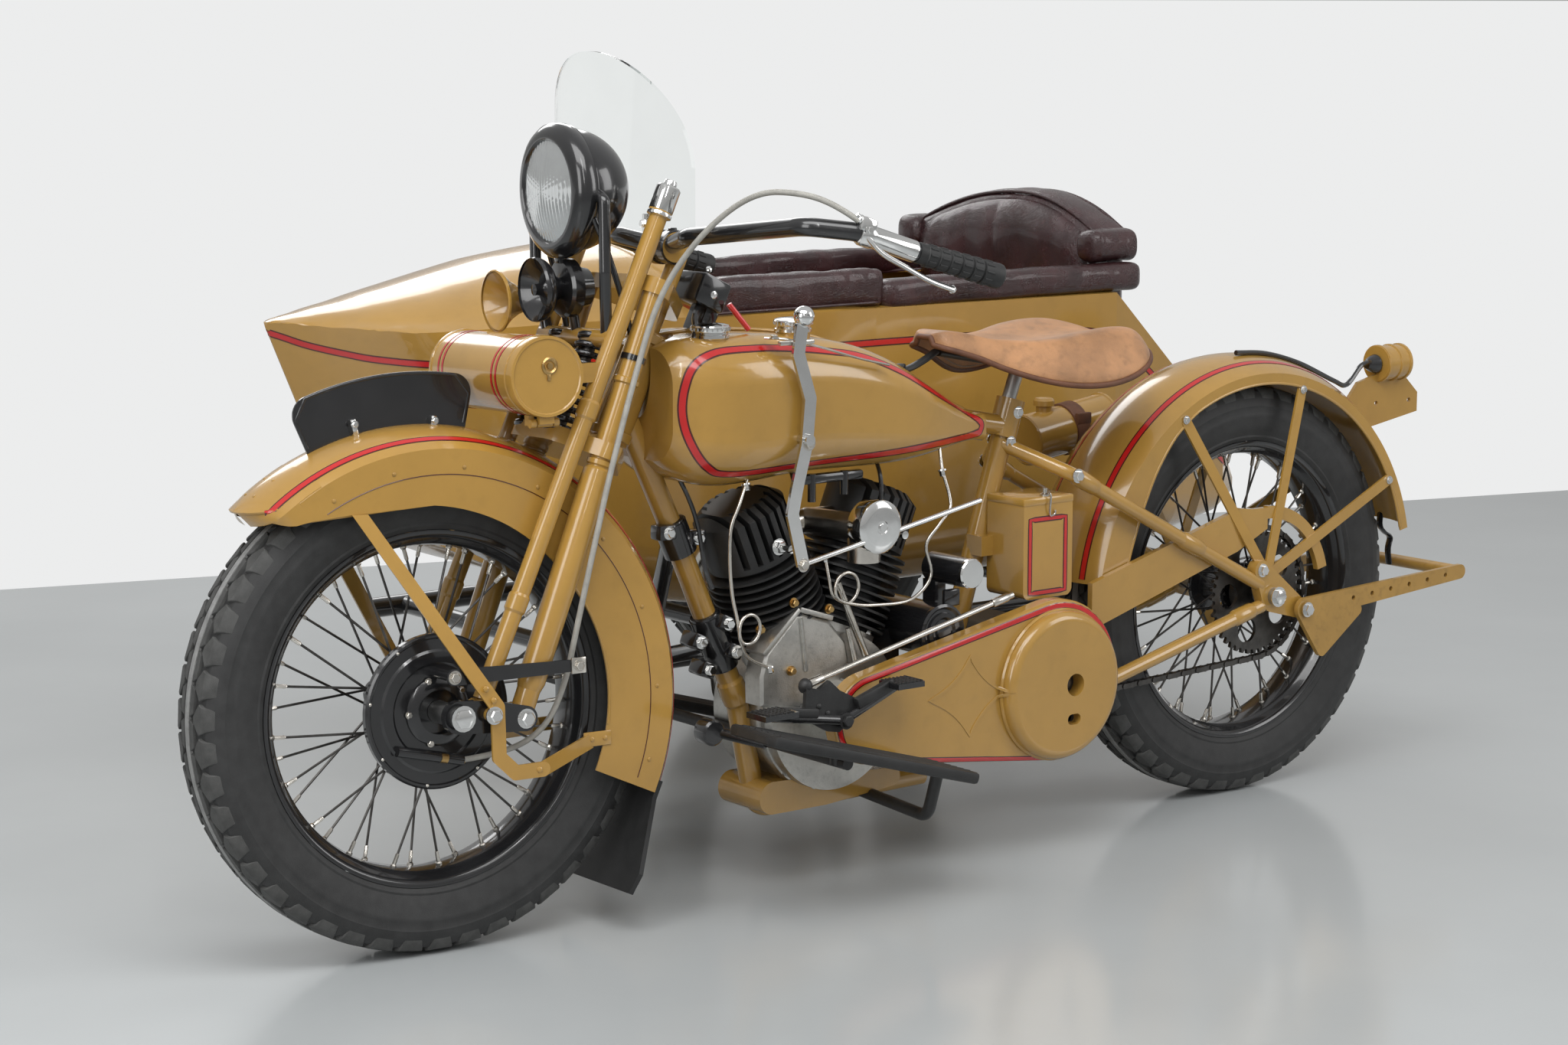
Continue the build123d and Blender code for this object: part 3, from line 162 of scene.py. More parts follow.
def area_light(name, at, target, size, watts):
    data = bpy.data.lights.new(name, "AREA")
    data.shape = "RECTANGLE"
    data.size, data.size_y = size
    data.energy = watts
    lamp = bpy.data.objects.new(name, data)
    lamp.location = at
    lamp.rotation_euler = (Vector(target) - Vector(at)).to_track_quat("-Z", "Y").to_euler()
    bpy.context.scene.collection.objects.link(lamp)


def make_light():
    world = bpy.data.worlds.new("room")
    bpy.context.scene.world = world
    world.use_nodes = True
    tree = world.node_tree
    back = tree.nodes["Background"]
    coords = new_node(tree, "TexCoord")
    split = new_node(tree, "SeparateXYZ")
    tone = ramp(tree, *ROOM_TONES, (0.0, 0.75))
    link(tree, coords, "Generated", split, "Vector")
    link(tree, split, "Z", tone, "Fac")
    link(tree, tone, "Color", back, "Color")
    back.inputs["Strength"].default_value = ROOM_STRENGTH
    area_light("key", (1.4, 1.6, 3.3), (0, 0.1, 0.4), (3.2, 1.6), 70)
    area_light("side", (-2.6, 3.2, 2.2), (-0.2, 0.2, 0.5), (1.6, 2.4), 42)
    area_light("front", (4.0, 1.6, 1.9), (0.4, 0.2, 0.5), (1.4, 2.2), 38)
    area_light("strip", (2.2, 3.0, 3.0), (0.2, 0.2, 0.5), (0.12, 2.6), 16)
    area_light("back", (-1.0, -3.4, 2.8), (0, -0.2, 0.5), (3.0, 1.6), 50)


# Materials

MATERIALS = {}


def finish(name, colour, rough, metallic=0.0, coat=0.0, spread=0.12, scale=22, grain=0.0, grain_scale=600,
           cells=0.0, cell_scale=380, sheen=0.0, dirt=0.0):
    """Surface with patchy colour, uneven gloss and a fine grain, all in object space."""
    mat = bpy.data.materials.new(name)
    mat.use_nodes = True
    tree = mat.node_tree
    shader = tree.nodes["Principled BSDF"]
    shader.inputs["Metallic"].default_value = metallic
    shader.inputs["Coat Weight"].default_value = coat
    shader.inputs["Coat Roughness"].default_value = 0.06
    shader.inputs["Sheen Weight"].default_value = sheen
    coords = new_node(tree, "TexCoord")
    patch = new_node(tree, "TexNoise", {"Scale": scale, "Detail": 5, "Roughness": 0.6})
    link(tree, coords, "Object", patch, "Vector")
    dark, light = [c * (1 - spread) for c in colour], [min(1, c * (1 + spread)) for c in colour]
    tone = ramp(tree, dark, light, (0.3, 0.7))
    link(tree, patch, "Fac", tone, "Fac")
    if dirt:
        spots = new_node(tree, "TexNoise", {"Scale": scale * 4.3, "Detail": 8})
        mask = ramp(tree, (0, 0, 0), (dirt, dirt, dirt), (0.52, 0.72))
        mix = new_node(tree, "Mix", {7: (*[c * 0.35 for c in colour], 1)}, data_type="RGBA")
        link(tree, coords, "Object", spots, "Vector")
        link(tree, spots, "Fac", mask, "Fac")
        link(tree, mask, "Color", mix, 0)
        link(tree, tone, "Color", mix, 6)
        link(tree, mix, 2, shader, "Base Color")
    else:
        link(tree, tone, "Color", shader, "Base Color")
    gloss = new_node(tree, "MapRange", {"To Min": rough[0], "To Max": rough[1]})
    link(tree, patch, "Fac", gloss, "Value")
    link(tree, gloss, "Result", shader, "Roughness")
    normal = None
    if grain:
        fine = new_node(tree, "TexNoise", {"Scale": grain_scale, "Detail": 3})
        normal = new_node(tree, "Bump", {"Strength": grain, "Distance": 0.001})
        link(tree, coords, "Object", fine, "Vector")
        link(tree, fine, "Fac", normal, "Height")
        link(tree, normal, "Normal", shader, "Normal")
    if cells:
        hide = new_node(tree, "TexVoronoi", {"Scale": cell_scale}, feature="DISTANCE_TO_EDGE")
        level = ramp(tree, (0, 0, 0), (1, 1, 1), (0.0, 0.18))
        pores = new_node(tree, "Bump", {"Strength": cells, "Distance": 0.0008})
        link(tree, coords, "Object", hide, "Vector")
        link(tree, hide, "Distance", level, "Fac")
        link(tree, level, "Color", pores, "Height")
        if normal is not None:
            link(tree, normal, "Normal", pores, "Normal")
        link(tree, pores, "Normal", shader, "Normal")
    MATERIALS[name] = mat
    return mat


def make_materials():
    finish("olive", (0.40, 0.225, 0.045), (0.16, 0.26), coat=0.7, spread=0.06, scale=9, grain=0.04,
           grain_scale=160, dirt=0.10)
    finish("olive_dull", (0.36, 0.205, 0.045), (0.3, 0.45), coat=0.25, spread=0.10, scale=20, grain=0.08,
           grain_scale=260, dirt=0.3)
    finish("black", (0.012, 0.012, 0.013), (0.14, 0.26), coat=0.6, spread=0.3, scale=16, grain=0.05,
           grain_scale=220)
    finish("black_dull", (0.018, 0.018, 0.018), (0.38, 0.55), spread=0.35, scale=40, grain=0.2,
           grain_scale=500)
    finish("chrome", (0.74, 0.74, 0.73), (0.05, 0.16), metallic=1, spread=0.06, scale=30, grain=0.03)
    finish("nickel", (0.60, 0.57, 0.52), (0.16, 0.32), metallic=1, spread=0.12, scale=45, grain=0.06)
    finish("steel", (0.42, 0.42, 0.41), (0.25, 0.45), metallic=1, spread=0.15, scale=60, grain=0.12)
    finish("dark_steel", (0.10, 0.095, 0.09), (0.3, 0.5), metallic=1, spread=0.25, scale=60, grain=0.12)
    finish("aluminium", (0.52, 0.51, 0.48), (0.32, 0.52), metallic=1, spread=0.14, scale=34, grain=0.3,
           grain_scale=420, dirt=0.25)
    finish("tyre", (0.026, 0.026, 0.026), (0.55, 0.75), spread=0.3, scale=50, grain=0.25, grain_scale=700)
    finish("worn", (0.24, 0.24, 0.235), (0.6, 0.8), spread=0.25, scale=60, grain=0.3, grain_scale=700)
    finish("tread", (0.058, 0.058, 0.056), (0.6, 0.8), spread=0.3, scale=60, grain=0.3, grain_scale=700)
    finish("rubber", (0.016, 0.016, 0.016), (0.45, 0.65), spread=0.3, scale=40, grain=0.2,
           grain_scale=800)
    finish("tan", (0.39, 0.195, 0.085), (0.34, 0.52), spread=0.30, scale=14, grain=0.12, grain_scale=420,
           cells=0.28, cell_scale=520, sheen=0.05, dirt=0.35)
    finish("oxblood", (0.034, 0.010, 0.011), (0.16, 0.36), coat=0.3, spread=0.45, scale=16, grain=0.15,
           grain_scale=300, cells=0.4, cell_scale=330, dirt=0.3)
    finish("strap", (0.12, 0.045, 0.02), (0.4, 0.6), spread=0.25, scale=40, cells=0.3, cell_scale=600)
    finish("red", (0.50, 0.012, 0.012), (0.16, 0.26), coat=0.6, spread=0.06, scale=30, grain=0.03)
    finish("edging", (0.06, 0.008, 0.006), (0.2, 0.3), coat=0.5, spread=0.1, scale=30, grain=0.03)
    finish("cable", (0.33, 0.32, 0.29), (0.4, 0.55), spread=0.15, scale=60, grain=0.3, grain_scale=900)
    finish("brass", (0.46, 0.30, 0.12), (0.22, 0.4), metallic=1, spread=0.12, scale=50, grain=0.08)
    finish("lamp_red", (0.35, 0.01, 0.01), (0.05, 0.12), coat=0.8, spread=0.1, scale=40, grain=0.05)
    glass = finish("glass", (0.93, 0.95, 0.94), (0.0, 0.03), spread=0.02, scale=8)
    shader = glass.node_tree.nodes["Principled BSDF"]
    shader.inputs["Transmission Weight"].default_value = 1
    shader.inputs["IOR"].default_value = 1.32
    finish("lens", (0.62, 0.64, 0.64), (0.08, 0.16), metallic=0.85, coat=0.8, spread=0.05, scale=30)


NODE_FINISH = {
    "olive": ("fuel_tank", "battery_box", "rear_fender", "front_fender", "sidecar_body", "sidecar_fender",
              "primary_cover", "chain_guard", "canister", "toolbox", "toolbox_lid", "front_frame",
              "frame_spine", "rear_frame", "rigid_fork", "spring_fork", "tail_lamp"),
    "olive_dull": ("rear_stand",),
    "black": ("sidecar_chassis", "sidecar_springs", "generator", "rockers", "fender_plate", "horn",
              "lamp_brackets", "handlebar", "front_brake", "headlamp", "front_wheel", "rear_wheel",
              "sidecar_wheel", "clutch_pedal"),
    "black_dull": ("gearbox", "footboards", "fork_springs", "seat_post", "front_cylinder", "rear_cylinder"),
    "chrome": ("shift_lever", "brake_lever", "windshield_posts"),
    "nickel": ("intake", "exhaust"),
    "steel": ("rear_axle", "front_axle"),
    "dark_steel": ("drive_chain", "rear_sprocket"),
    "cable": ("brake_cable",),
    "aluminium": ("crankcase",),
    "tyre": ("front_tyre", "rear_tyre", "sidecar_tyre"),
    "rubber": ("grips", "mud_flap"),
    "tan": ("saddle",),
    "oxblood": ("sidecar_seat", "sidecar_seat_back", "coaming_pads"),
    "glass": ("windshield",),
}


def dress_nodes():
    for name, nodes in NODE_FINISH.items():
        for node in nodes:
            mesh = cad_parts[node].data
            mesh.materials.clear()
            mesh.materials.append(MATERIALS[name])


# Mesh tools

class Form:
    """Points and faces of a piece, gathered in millimetres."""

    def __init__(self):
        self.points = []
        self.faces = []

    def add(self, points, faces):
        base = len(self.points)
        self.points += [Vector(p) for p in points]
        self.faces += [tuple(base + i for i in f) for f in faces]
        return self

    def tube(self, *sizes, **more):
        return self.add(*tube(*sizes, **more))

    def lathe(self, *sizes, **more):
        return self.add(*lathe(*sizes, **more))

    def collar(self, inner, outer, half, flat, at, axis, sides):
        """Ring round a bar, full thickness over its flat and sloping to its ends."""
        profile = [(inner, -half), (outer, -flat), (outer, flat), (inner, half)]
        return self.add(*lathe(profile, at, axis, sides, closed=True))

    def coil(self, *sizes):
        return self.add(*coil(*sizes))

    def block(self, *sizes):
        return self.add(*block(*sizes))

    def bolt(self, *sizes):
        return self.add(*bolt(*sizes))

    def dome(self, *sizes):
        return self.add(*dome(*sizes))


def make(name, form, finish_name, body, replaces=(), sharp=35, place=None, smooth=0, weld=0.0):
    matrix = place if place is not None else (FORK if body in FORK_BODIES else BIKE)
    mesh = bpy.data.meshes.new(name)
    mesh.from_pydata([matrix @ p for p in form.points], [], form.faces)
    work = bmesh.new()
    work.from_mesh(mesh)
    if weld:
        bmesh.ops.remove_doubles(work, verts=work.verts, dist=weld)
    bmesh.ops.recalc_face_normals(work, faces=work.faces)
    work.to_mesh(mesh)
    work.free()
    mesh.shade_smooth()
    mesh.set_sharp_from_angle(angle=math.radians(sharp))
    obj = bpy.data.objects.new(name, mesh)
    bpy.context.scene.collection.objects.link(obj)
    mesh.materials.append(MATERIALS[finish_name])
    if smooth:
        mod = obj.modifiers.new("smooth", "SUBSURF")
        mod.levels = mod.render_levels = smooth
    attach(obj, body)
    if replaces:
        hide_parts(*replaces)
    return obj


def basis(axis):
    a = Vector(axis).normalized()
    side = a.cross(Z if abs(a.z) < 0.9 else X).normalized()
    return a, side, a.cross(side)


def around(centre, radius, y, angle):
    """Point on a circle about an axle that lies along Y."""
    return centre + Vector((radius * math.cos(angle), y, radius * math.sin(angle)))


def circle_line(centre, radius, y, start, end, steps=60):
    """Points of an arc in side view, its ends given in degrees."""
    turns = [math.radians(start + (end - start) * i / steps) for i in range(steps + 1)]
    return [around(centre, radius, y, a) for a in turns]


def filled(line, step):
    """Closed line with points added where they lie more than a step apart."""
    out = []
    for p, q in zip(line, line[1:] + line[:1]):
        parts = max(1, int((q - p).length / step))
        out += [p.lerp(q, k / parts) for k in range(parts)]
    return out


def between(table, at):
    """Straight-line reading of a table of (place, value) pairs."""
    for (a, va), (b, vb) in zip(table, table[1:]):
        if at <= b:
            return va + (vb - va) * min(1.0, max(0.0, (at - a) / (b - a)))
    return table[-1][1]


def ring_faces(count, sides, closed=False):
    """Faces that join rings of points one after the other, with end caps unless closed."""
    faces = []
    for i in range(count if closed else count - 1):
        j = (i + 1) % count
        for k in range(sides):
            m = (k + 1) % sides
            faces.append((i * sides + k, i * sides + m, j * sides + m, j * sides + k))
    if not closed:
        faces.append(tuple(range(sides - 1, -1, -1)))
        faces.append(tuple(range((count - 1) * sides, count * sides)))
    return faces


def sheet_faces(count, wide):
    """Faces of a closed sheet, its upper rows of points before its lower ones, and the loop of its edge."""
    base = count * wide
    faces = []
    for i in range(count - 1):
        for k in range(wide - 1):
            q = (i * wide + k, i * wide + k + 1, (i + 1) * wide + k + 1, (i + 1) * wide + k)
            faces += [q, tuple(base + j for j in reversed(q))]
    loop = list(range(wide)) + [i * wide + wide - 1 for i in range(1, count)]
    loop += [(count - 1) * wide + k for k in range(wide - 2, -1, -1)]
    loop += [i * wide for i in range(count - 2, 0, -1)]
    faces += [(a, b, base + b, base + a) for a, b in zip(loop, loop[1:] + loop[:1])]
    return faces, loop


def curve_points(points, steps=8, closed=False):
    """Smooth line through the given points."""
    pts = [Vector(p) for p in points]
    count = len(pts)
    out = []
    for i in range(count if closed else count - 1):
        if closed:
            a, b, c, d = (pts[(i + k) % count] for k in (-1, 0, 1, 2))
        else:
            b, c = pts[i], pts[i + 1]
            a = pts[i - 1] if i else b * 2 - c
            d = pts[i + 2] if i + 2 < count else c * 2 - b
        for s in range(steps):
            t = s / steps
            out.append(0.5 * (2 * b + (c - a) * t + (2 * a - 5 * b + 4 * c - d) * t * t
                              + (3 * b - a - 3 * c + d) * t ** 3))
    if not closed:
        out.append(pts[-1])
    return out


def tube(points, radius, sides=10, closed=False, flat=1.0):
    """Round bar along a line; radius may be a list, flat squeezes it along its second axis."""
    pts = [Vector(p) for p in points]
    count = len(pts)
    radii = radius if isinstance(radius, (list, tuple)) else [radius] * count
    tangents = []
    for i in range(count):
        before = pts[i - 1] if i or closed else pts[i]
        after = pts[(i + 1) % count] if i + 1 < count or closed else pts[i]
        tangents.append((after - before).normalized())
    _, side, up = basis(tangents[0])
    verts = []
    for i, p in enumerate(pts):
        if i:
            turn = tangents[i - 1].rotation_difference(tangents[i])
            side = turn @ side
            up = turn @ up
        for k in range(sides):
            a = 2 * math.pi * k / sides
            verts.append(p + radii[i] * (math.cos(a) * side + flat * math.sin(a) * up))
    return verts, ring_faces(count, sides, closed)


def lathe(profile, at, axis, sides=40, closed=False):
    """Turned form from (radius, along) points; a radius of zero closes it at the axis."""
    a, side, up = basis(axis)
    at = Vector(at)
    rings, verts, faces = [], [], []
    for r, h in profile:
        if r < 1e-6:
            rings.append([len(verts)])
            verts.append(at + a * h)
        else:
            rings.append(list(range(len(verts), len(verts) + sides)))
            for k in range(sides):
                t = 2 * math.pi * k / sides
                verts.append(at + a * h + r * (math.cos(t) * side + math.sin(t) * up))
    pairs = list(zip(rings, rings[1:]))
    if closed:
        pairs.append((rings[-1], rings[0]))
    for low, high in pairs:
        for k in range(sides):
            m = (k + 1) % sides
            if len(low) == 1 and len(high) == 1:
                continue
            if len(low) == 1:
                faces.append((low[0], high[m], high[k]))
            elif len(high) == 1:
                faces.append((low[k], low[m], high[0]))
            else:
                faces.append((low[k], low[m], high[m], high[k]))
    return verts, faces


def coil(start, end, radius, wire, turns, sides=8):
    """Spring wound between two points."""
    a, side, up = basis(Vector(end) - Vector(start))
    steps = int(turns * 14)
    line = []
    for i in range(steps + 1):
        t = 2 * math.pi * turns * i / steps
        middle = Vector(start).lerp(Vector(end), i / steps)
        line.append(middle + radius * (math.cos(t) * side + math.sin(t) * up))
    return tube(line, wire, sides)


def block(centre, size, bevel=1.5, turn=None):
    """Box with rounded edges."""
    work = bmesh.new()
    bmesh.ops.create_cube(work, size=1)
    bmesh.ops.scale(work, vec=size, verts=work.verts)
    bmesh.ops.bevel(work, geom=work.edges, offset=bevel, segments=2, affect="EDGES", profile=0.5)
    work.verts.index_update()
    rot = turn if turn is not None else Matrix.Identity(3)
    verts = [Vector(centre) + rot @ v.co for v in work.verts]
    faces = [tuple(v.index for v in f.verts) for f in work.faces]
    work.free()
    return verts, faces


def bolt(at, axis, radius=6, height=5, sides=6):
    """Hexagon head on a washer, slightly domed."""
    form = Form()
    form.add(*lathe([(0, -1), (radius * 1.35, -1), (radius * 1.35, 1.2), (0, 1.2)], at, axis, 16))
    form.add(*lathe([(0, 1.2), (radius, 1.2), (radius, height * 0.85), (radius * 0.82, height),
                     (0, height)], at, axis, sides))
    return form.points, form.faces


def dome(at, axis, radius, height, sides=16):
    """Rivet head or button."""
    profile = [(0, -0.5), (radius, -0.5), (radius, 0), (radius * 0.86, height * 0.55),
               (radius * 0.5, height * 0.9), (0, height)]
    return lathe(profile, at, axis, sides)


RESHAPED = {}


def reshape(node, name, finish_name, body, move):
    """Copy of a CAD node with its points moved by a function in millimetres; it stands in for the node."""
    matrix = FORK if body in FORK_BODIES else BIKE
    back = matrix.inverted()
    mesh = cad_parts[node].data
    form = Form().add([move(back @ v.co) for v in mesh.vertices],
                      [tuple(p.vertices) for p in mesh.polygons])
    obj = make(name, form, finish_name, body, replaces=(node,), sharp=30)
    RESHAPED[node] = obj.data


def surface_of(*nodes):
    """Ray target made of the named CAD nodes or their reshaped copies, in metres."""
    verts, faces = [], []
    for node in nodes:
        mesh = RESHAPED[node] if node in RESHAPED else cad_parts[node].data
        base = len(verts)
        verts += [v.co.copy() for v in mesh.vertices]
        faces += [tuple(base + i for i in p.vertices) for p in mesh.polygons]
    return BVHTree.FromPolygons(verts, faces)


PAINT_SINK = 0.0004


def ribbon(target, line, width, matrix, lift=0.5, rows=3, closed=False, toward=None):
    """Closed strip painted along a line on a CAD surface; its points come back in metres."""
    pts = []
    for p in line:
        q = matrix @ Vector(p)
        if toward is not None:
            d = (matrix.to_3x3() @ Vector(toward)).normalized()
            hit, nor, _, _ = target.ray_cast(q - d * 0.4, d)
            if hit is None:
                hit, nor, _, _ = target.find_nearest(q)
        else:
            hit, nor, _, _ = target.find_nearest(q)
        pts.append((hit, nor))
    count = len(pts)
    verts = []
    half = width / 2000
    layers = [(r, lift / 1000) for r in range(rows)] + [(r, -PAINT_SINK) for r in reversed(range(rows))]
    for i in range(count):
        before = pts[i - 1][0] if i or closed else pts[i][0]
        after = pts[(i + 1) % count][0] if i + 1 < count or closed else pts[i][0]
        hit, nor = pts[i]
        along = (after - before).normalized()
        side = nor.cross(along).normalized()
        for r, level in layers:
            spot = hit + side * (-half + 2 * half * r / (rows - 1))
            near, n2, _, _ = target.find_nearest(spot)
            if n2.dot(nor) < 0.2:
                near, n2 = spot, nor
            verts.append(near + n2 * level)
    return verts, ring_faces(count, 2 * rows, closed)


def paint_line(name, nodes, lines, body, width=8, edge=12.5, closed=True, toward=None):
    """Red stripe with a dark edge along lines on the named nodes."""
    matrix = FORK if body in FORK_BODIES else BIKE
    target = surface_of(*nodes)
    for finish_name, wide, lift in (("edging", edge, 0.3), ("red", width, 0.6)):
        form = Form()
        for line in lines:
            form.add(*ribbon(target, line, wide, matrix, lift, 3, closed, toward))
        make(f"{name}_{finish_name}", form, finish_name, body, place=Matrix.Identity(4), sharp=50)


# Wheels

TYRE_R = AXLE_Z
TREAD = 4.6
INNER_ROWS = (9, 0.46), (14, 0.41), (20, 0.34)
LUG_ROWS = (20.5, 0.10), (27, 0.29), (33, 0.46), (38, 0.40), (42.5, 0.34), (47, 0.28)


def crown(t):
    """Radius of the tread surface at a place across the tyre."""
    return TYRE_R - 0.6 - 5 * (abs(t) / 44) ** 2.5 - 26 * max(0.0, (abs(t) - 38) / 12) ** 2


def tread_block(form, centre, rows, turn, side):
    """Rubber block from rows of (across, middle, half length) in millimetres at an angle round the tyre."""
    verts = []
    count = 2 * len(rows)
    mid_t = sum(t for t, _, _ in rows) / len(rows)
    for drop, grow in ((0, 0.95), (TREAD * 0.2, 1.0), (TREAD + 1.5, 1.03)):
        edge = []
        for sign, order in ((1, rows), (-1, reversed(rows))):
            for t, middle, half in order:
                t2 = mid_t + (t - mid_t) * grow
                a = turn + (middle + sign * half * grow) / TYRE_R
                r = crown(t2) - drop
                edge.append(around(centre, r, side * t2, a))
        verts += edge
    faces = []
    for k in range(len(rows) - 1):
        q = (k, k + 1, count - 2 - k, count - 1 - k)
        faces += [q, tuple(2 * count + j for j in reversed(q))]
    for level in range(2):
        for k in range(count):
            m = (k + 1) % count
            b = level * count
            faces.append((b + k, b + count + k, b + count + m, b + m))
    form.add(verts, faces)


def mirrored(profile):
    """Other half of a turned profile, from its far end back."""
    return [(r, -along) for r, along in reversed(profile)]


def make_tyre(label, centre, body):
    form, blocks, rib = Form(), Form(), Form()
    section = [(crown(t) - TREAD, t) for t in [-44 + 88 * k / 24 for k in range(25)]]
    wall = [(309, 47), (300, 49.6), (297, 50.6), (294, 49.9), (285, 51.4), (282, 52), (279, 51.2),
            (268, 50), (258, 46.5), (250, 43.5), (247, 44), (244, 42.6), (240.5, 40), (240.5, 36)]
    form.lathe(section + wall + mirrored(wall), centre, Y, 120, closed=True)
    pitches = 46
    step = 2 * math.pi * TYRE_R / pitches
    inner = [(t, 0, step * half) for t, half in INNER_ROWS]
    lug = [(t, step * 0.5, step * half) for t, half in LUG_ROWS]
    for i in range(pitches):
        turn = 2 * math.pi * i / pitches
        for side in (1, -1):
            tread_block(blocks, centre, inner, turn, side)
            tread_block(blocks, centre, lug, turn, side)
    edges = ((-6.2, TREAD + 1), (-6.0, 0.6), (-5, 0), (0, 0), (5, 0), (6.0, 0.6), (6.2, TREAD + 1))
    band = [(crown(t) - drop, t) for t, drop in edges]
    rib.lathe(band, centre, Y, 140, closed=True)
    make(f"{label}_tyre_rib", rib, "worn", body, sharp=40)
    make(f"{label}_tyre_blocks", blocks, "tread", body, sharp=28)
    make(f"{label}_tyre_casing", form, "tyre", body, replaces=(f"{label}_tyre",), sharp=28)


def make_wheel(label, centre, body):
    rim = Form()
    bed = [(240, 41), (236.5, 41.2), (233, 39.5), (229, 35), (226, 28), (220, 22), (217.6, 12)]
    well = [(223, 16), (232, 32), (239.6, 37)]
    rim.lathe(bed + [(217.4, 0)] + mirrored(bed) + mirrored(well) + well, centre, Y, 110, closed=True)
    flange = [(9.2, -46), (22, -46), (24, -44), (24, -40), (43, -39), (44, -37), (44, -34.5), (42, -33),
              (26, -32), (21, -24)]
    rim.lathe(flange + [(19.5, 0)] + mirrored(flange), centre, Y, 48, closed=True)
    make(f"{label}_wheel_rim", rim, "black", body, replaces=(f"{label}_wheel",), sharp=30)
    spokes, nipples = Form(), Form()
    nipple = [(0, -20), (2.2, -20), (2.9, -18), (2.9, -5), (4.6, -3), (4.6, 1), (0, 1)]
    for i in range(40):
        side = 1 if i % 2 else -1
        lean = 34 if i % 4 < 2 else -34
        a = 2 * math.pi * (i + 0.5) / 40
        h = a + math.radians(lean)
        outer = side * (37.5 if i % 4 in (0, 3) else 35)
        start = around(centre, 40, outer, h)
        end = around(centre, 218.5, side * 9, a)
        spokes.tube([start, end], 1.75, 7)
        d = (end - start).normalized()
        nipples.lathe(nipple, end, d, 8)
        spokes.dome(start + Vector((0, side * 3, 0)), Y * side, 3.2, 2, 8)
    make(f"{label}_spokes", spokes, "dark_steel", body)
    make(f"{label}_spoke_nipples", nipples, "nickel", body)


WHEELS = (("front", FRONT_AXLE, "front_roller"), ("rear", REAR_AXLE, "rear_roller"),
          ("sidecar", SIDE_AXLE, "sidecar_roller"))


def make_wheels():
    for label, centre, body in WHEELS:
        make_tyre(label, centre, body)
        make_wheel(label, centre, body)


def make_valves():
    stem = [(0, 0), (4.6, 0), (4.6, 6), (3, 8), (3, 24), (4, 25), (4, 32), (0, 33)]
    for _, centre, body in WHEELS:
        form = Form().lathe(stem, centre + Vector((-204, 0, 76)), (0.937, 0, -0.35), 12)
        make(f"valve_{body}", form, "nickel", body)


# Soft goods

def make_saddle():
    """Leather pan: dished in the middle, its sides rolled down to a sewn edge."""
    rows = [
        # x, half width, middle height, rise of the dish, height of the edge
        (262, 34, 750, 0, 746), (268, 78, 755, 4, 744), (284, 112, 759, 9, 738), (314, 140, 762, 14, 726),
        (353, 150, 762, 16, 712), (406, 149, 759, 14, 703), (456, 132, 757, 9, 704),
        (503, 106, 760, 5, 714), (547, 80, 768, 1, 730), (582, 62, 777, 0, 746), (614, 50, 782, 0, 757),
        (630, 38, 781, 0, 762), (637, 20, 777, 0, 766)]
    line = curve_points([(x, half, mid) for x, half, mid, _, _ in rows], 4)
    more = curve_points([(x, rise, edge) for x, _, _, rise, edge in rows], 4)
    across, thick, dish = 24, 8, 0.6
    top, low = [], []
    for a, b in zip(line, more):
        for k in range(across + 1):
            v = -1 + 2 * k / across
            m = abs(v)
            if m < dish:
                z = a.z + b.y * (1 - math.cos(math.pi * m / dish)) / 2
            else:
                t = (m - dish) / (1 - dish)
                z = a.z + b.y + (b.z - a.z - b.y) * t * t * (1.25 - 0.25 * t)
            y = a.y * math.copysign(m ** 0.92, v)
            crease = 1.1 * noise.noise(Vector((a.x * 0.018, y * 0.018, 3.1)))
            top.append(Vector((a.x, y, z + crease)))
            low.append(Vector((a.x, y * 0.97, z - thick)))
    faces, loop = sheet_faces(len(line), across + 1)
    form = Form().add(top + low, faces)
    seat = make("saddle_leather", form, "tan", "chassis", replaces=("saddle",), smooth=1, sharp=180)
    edge = [(top[j] * 0.5 + low[j] * 0.5) for j in loop]
    rim = Form().tube(edge, 4.6, 8, closed=True)
    make("saddle_edge", rim, "strap", "chassis", sharp=180)
    stitches = Form()
    inner = [top[j] for j in loop]
    for p, q in zip(inner, inner[1:] + inner[:1]):
        inward = Vector((430 - p.x, -p.y, 0)).normalized() * 9
        for s in (0.15, 0.65):
            a = p.lerp(q, s) + inward + Vector((0, 0, 2.4))
            b = p.lerp(q, s + 0.3) + inward + Vector((0, 0, 2.4))
            if (b - a).length > 1.5:
                stitches.tube([a, b], 0.8, 5)
    make("saddle_stitching", stitches, "cable", "chassis")


def make_seat_post():
    steel, black = Form(), Form()
    steel.tube([(480, 0, 644), (452, 0, 716)], 11, 20)
    black.block((450, 0, 718), (34, 30, 20), 4)
    black.tube(curve_points([(612, 0, 748), (560, 0, 738), (500, 0, 728), (420, 0, 722), (330, 0, 716)],
                            6), 9, 12, flat=0.6)
    black.tube([(328, -84, 704), (328, 84, 704)], 6, 12)
    for side in (1, -1):
        black.tube([(450, side * 10, 716), (328, side * 70, 704)], 5.5, 12)
        black.coil((328, side * 72, 700), (328, side * 72, 738), 13, 3.4, 4, 8)
    black.tube(curve_points([(616, 0, 750), (640, 0, 738), (668, 0, 728), (690, 0, 726)], 6), 8, 12,
               flat=0.6)
    black.bolt((684, 0, 728), Z, 8, 8)
    make("seat_post_tube", steel, "steel", "chassis", replaces=("seat_post",))
    make("seat_frame", black, "black_dull", "chassis", sharp=50)


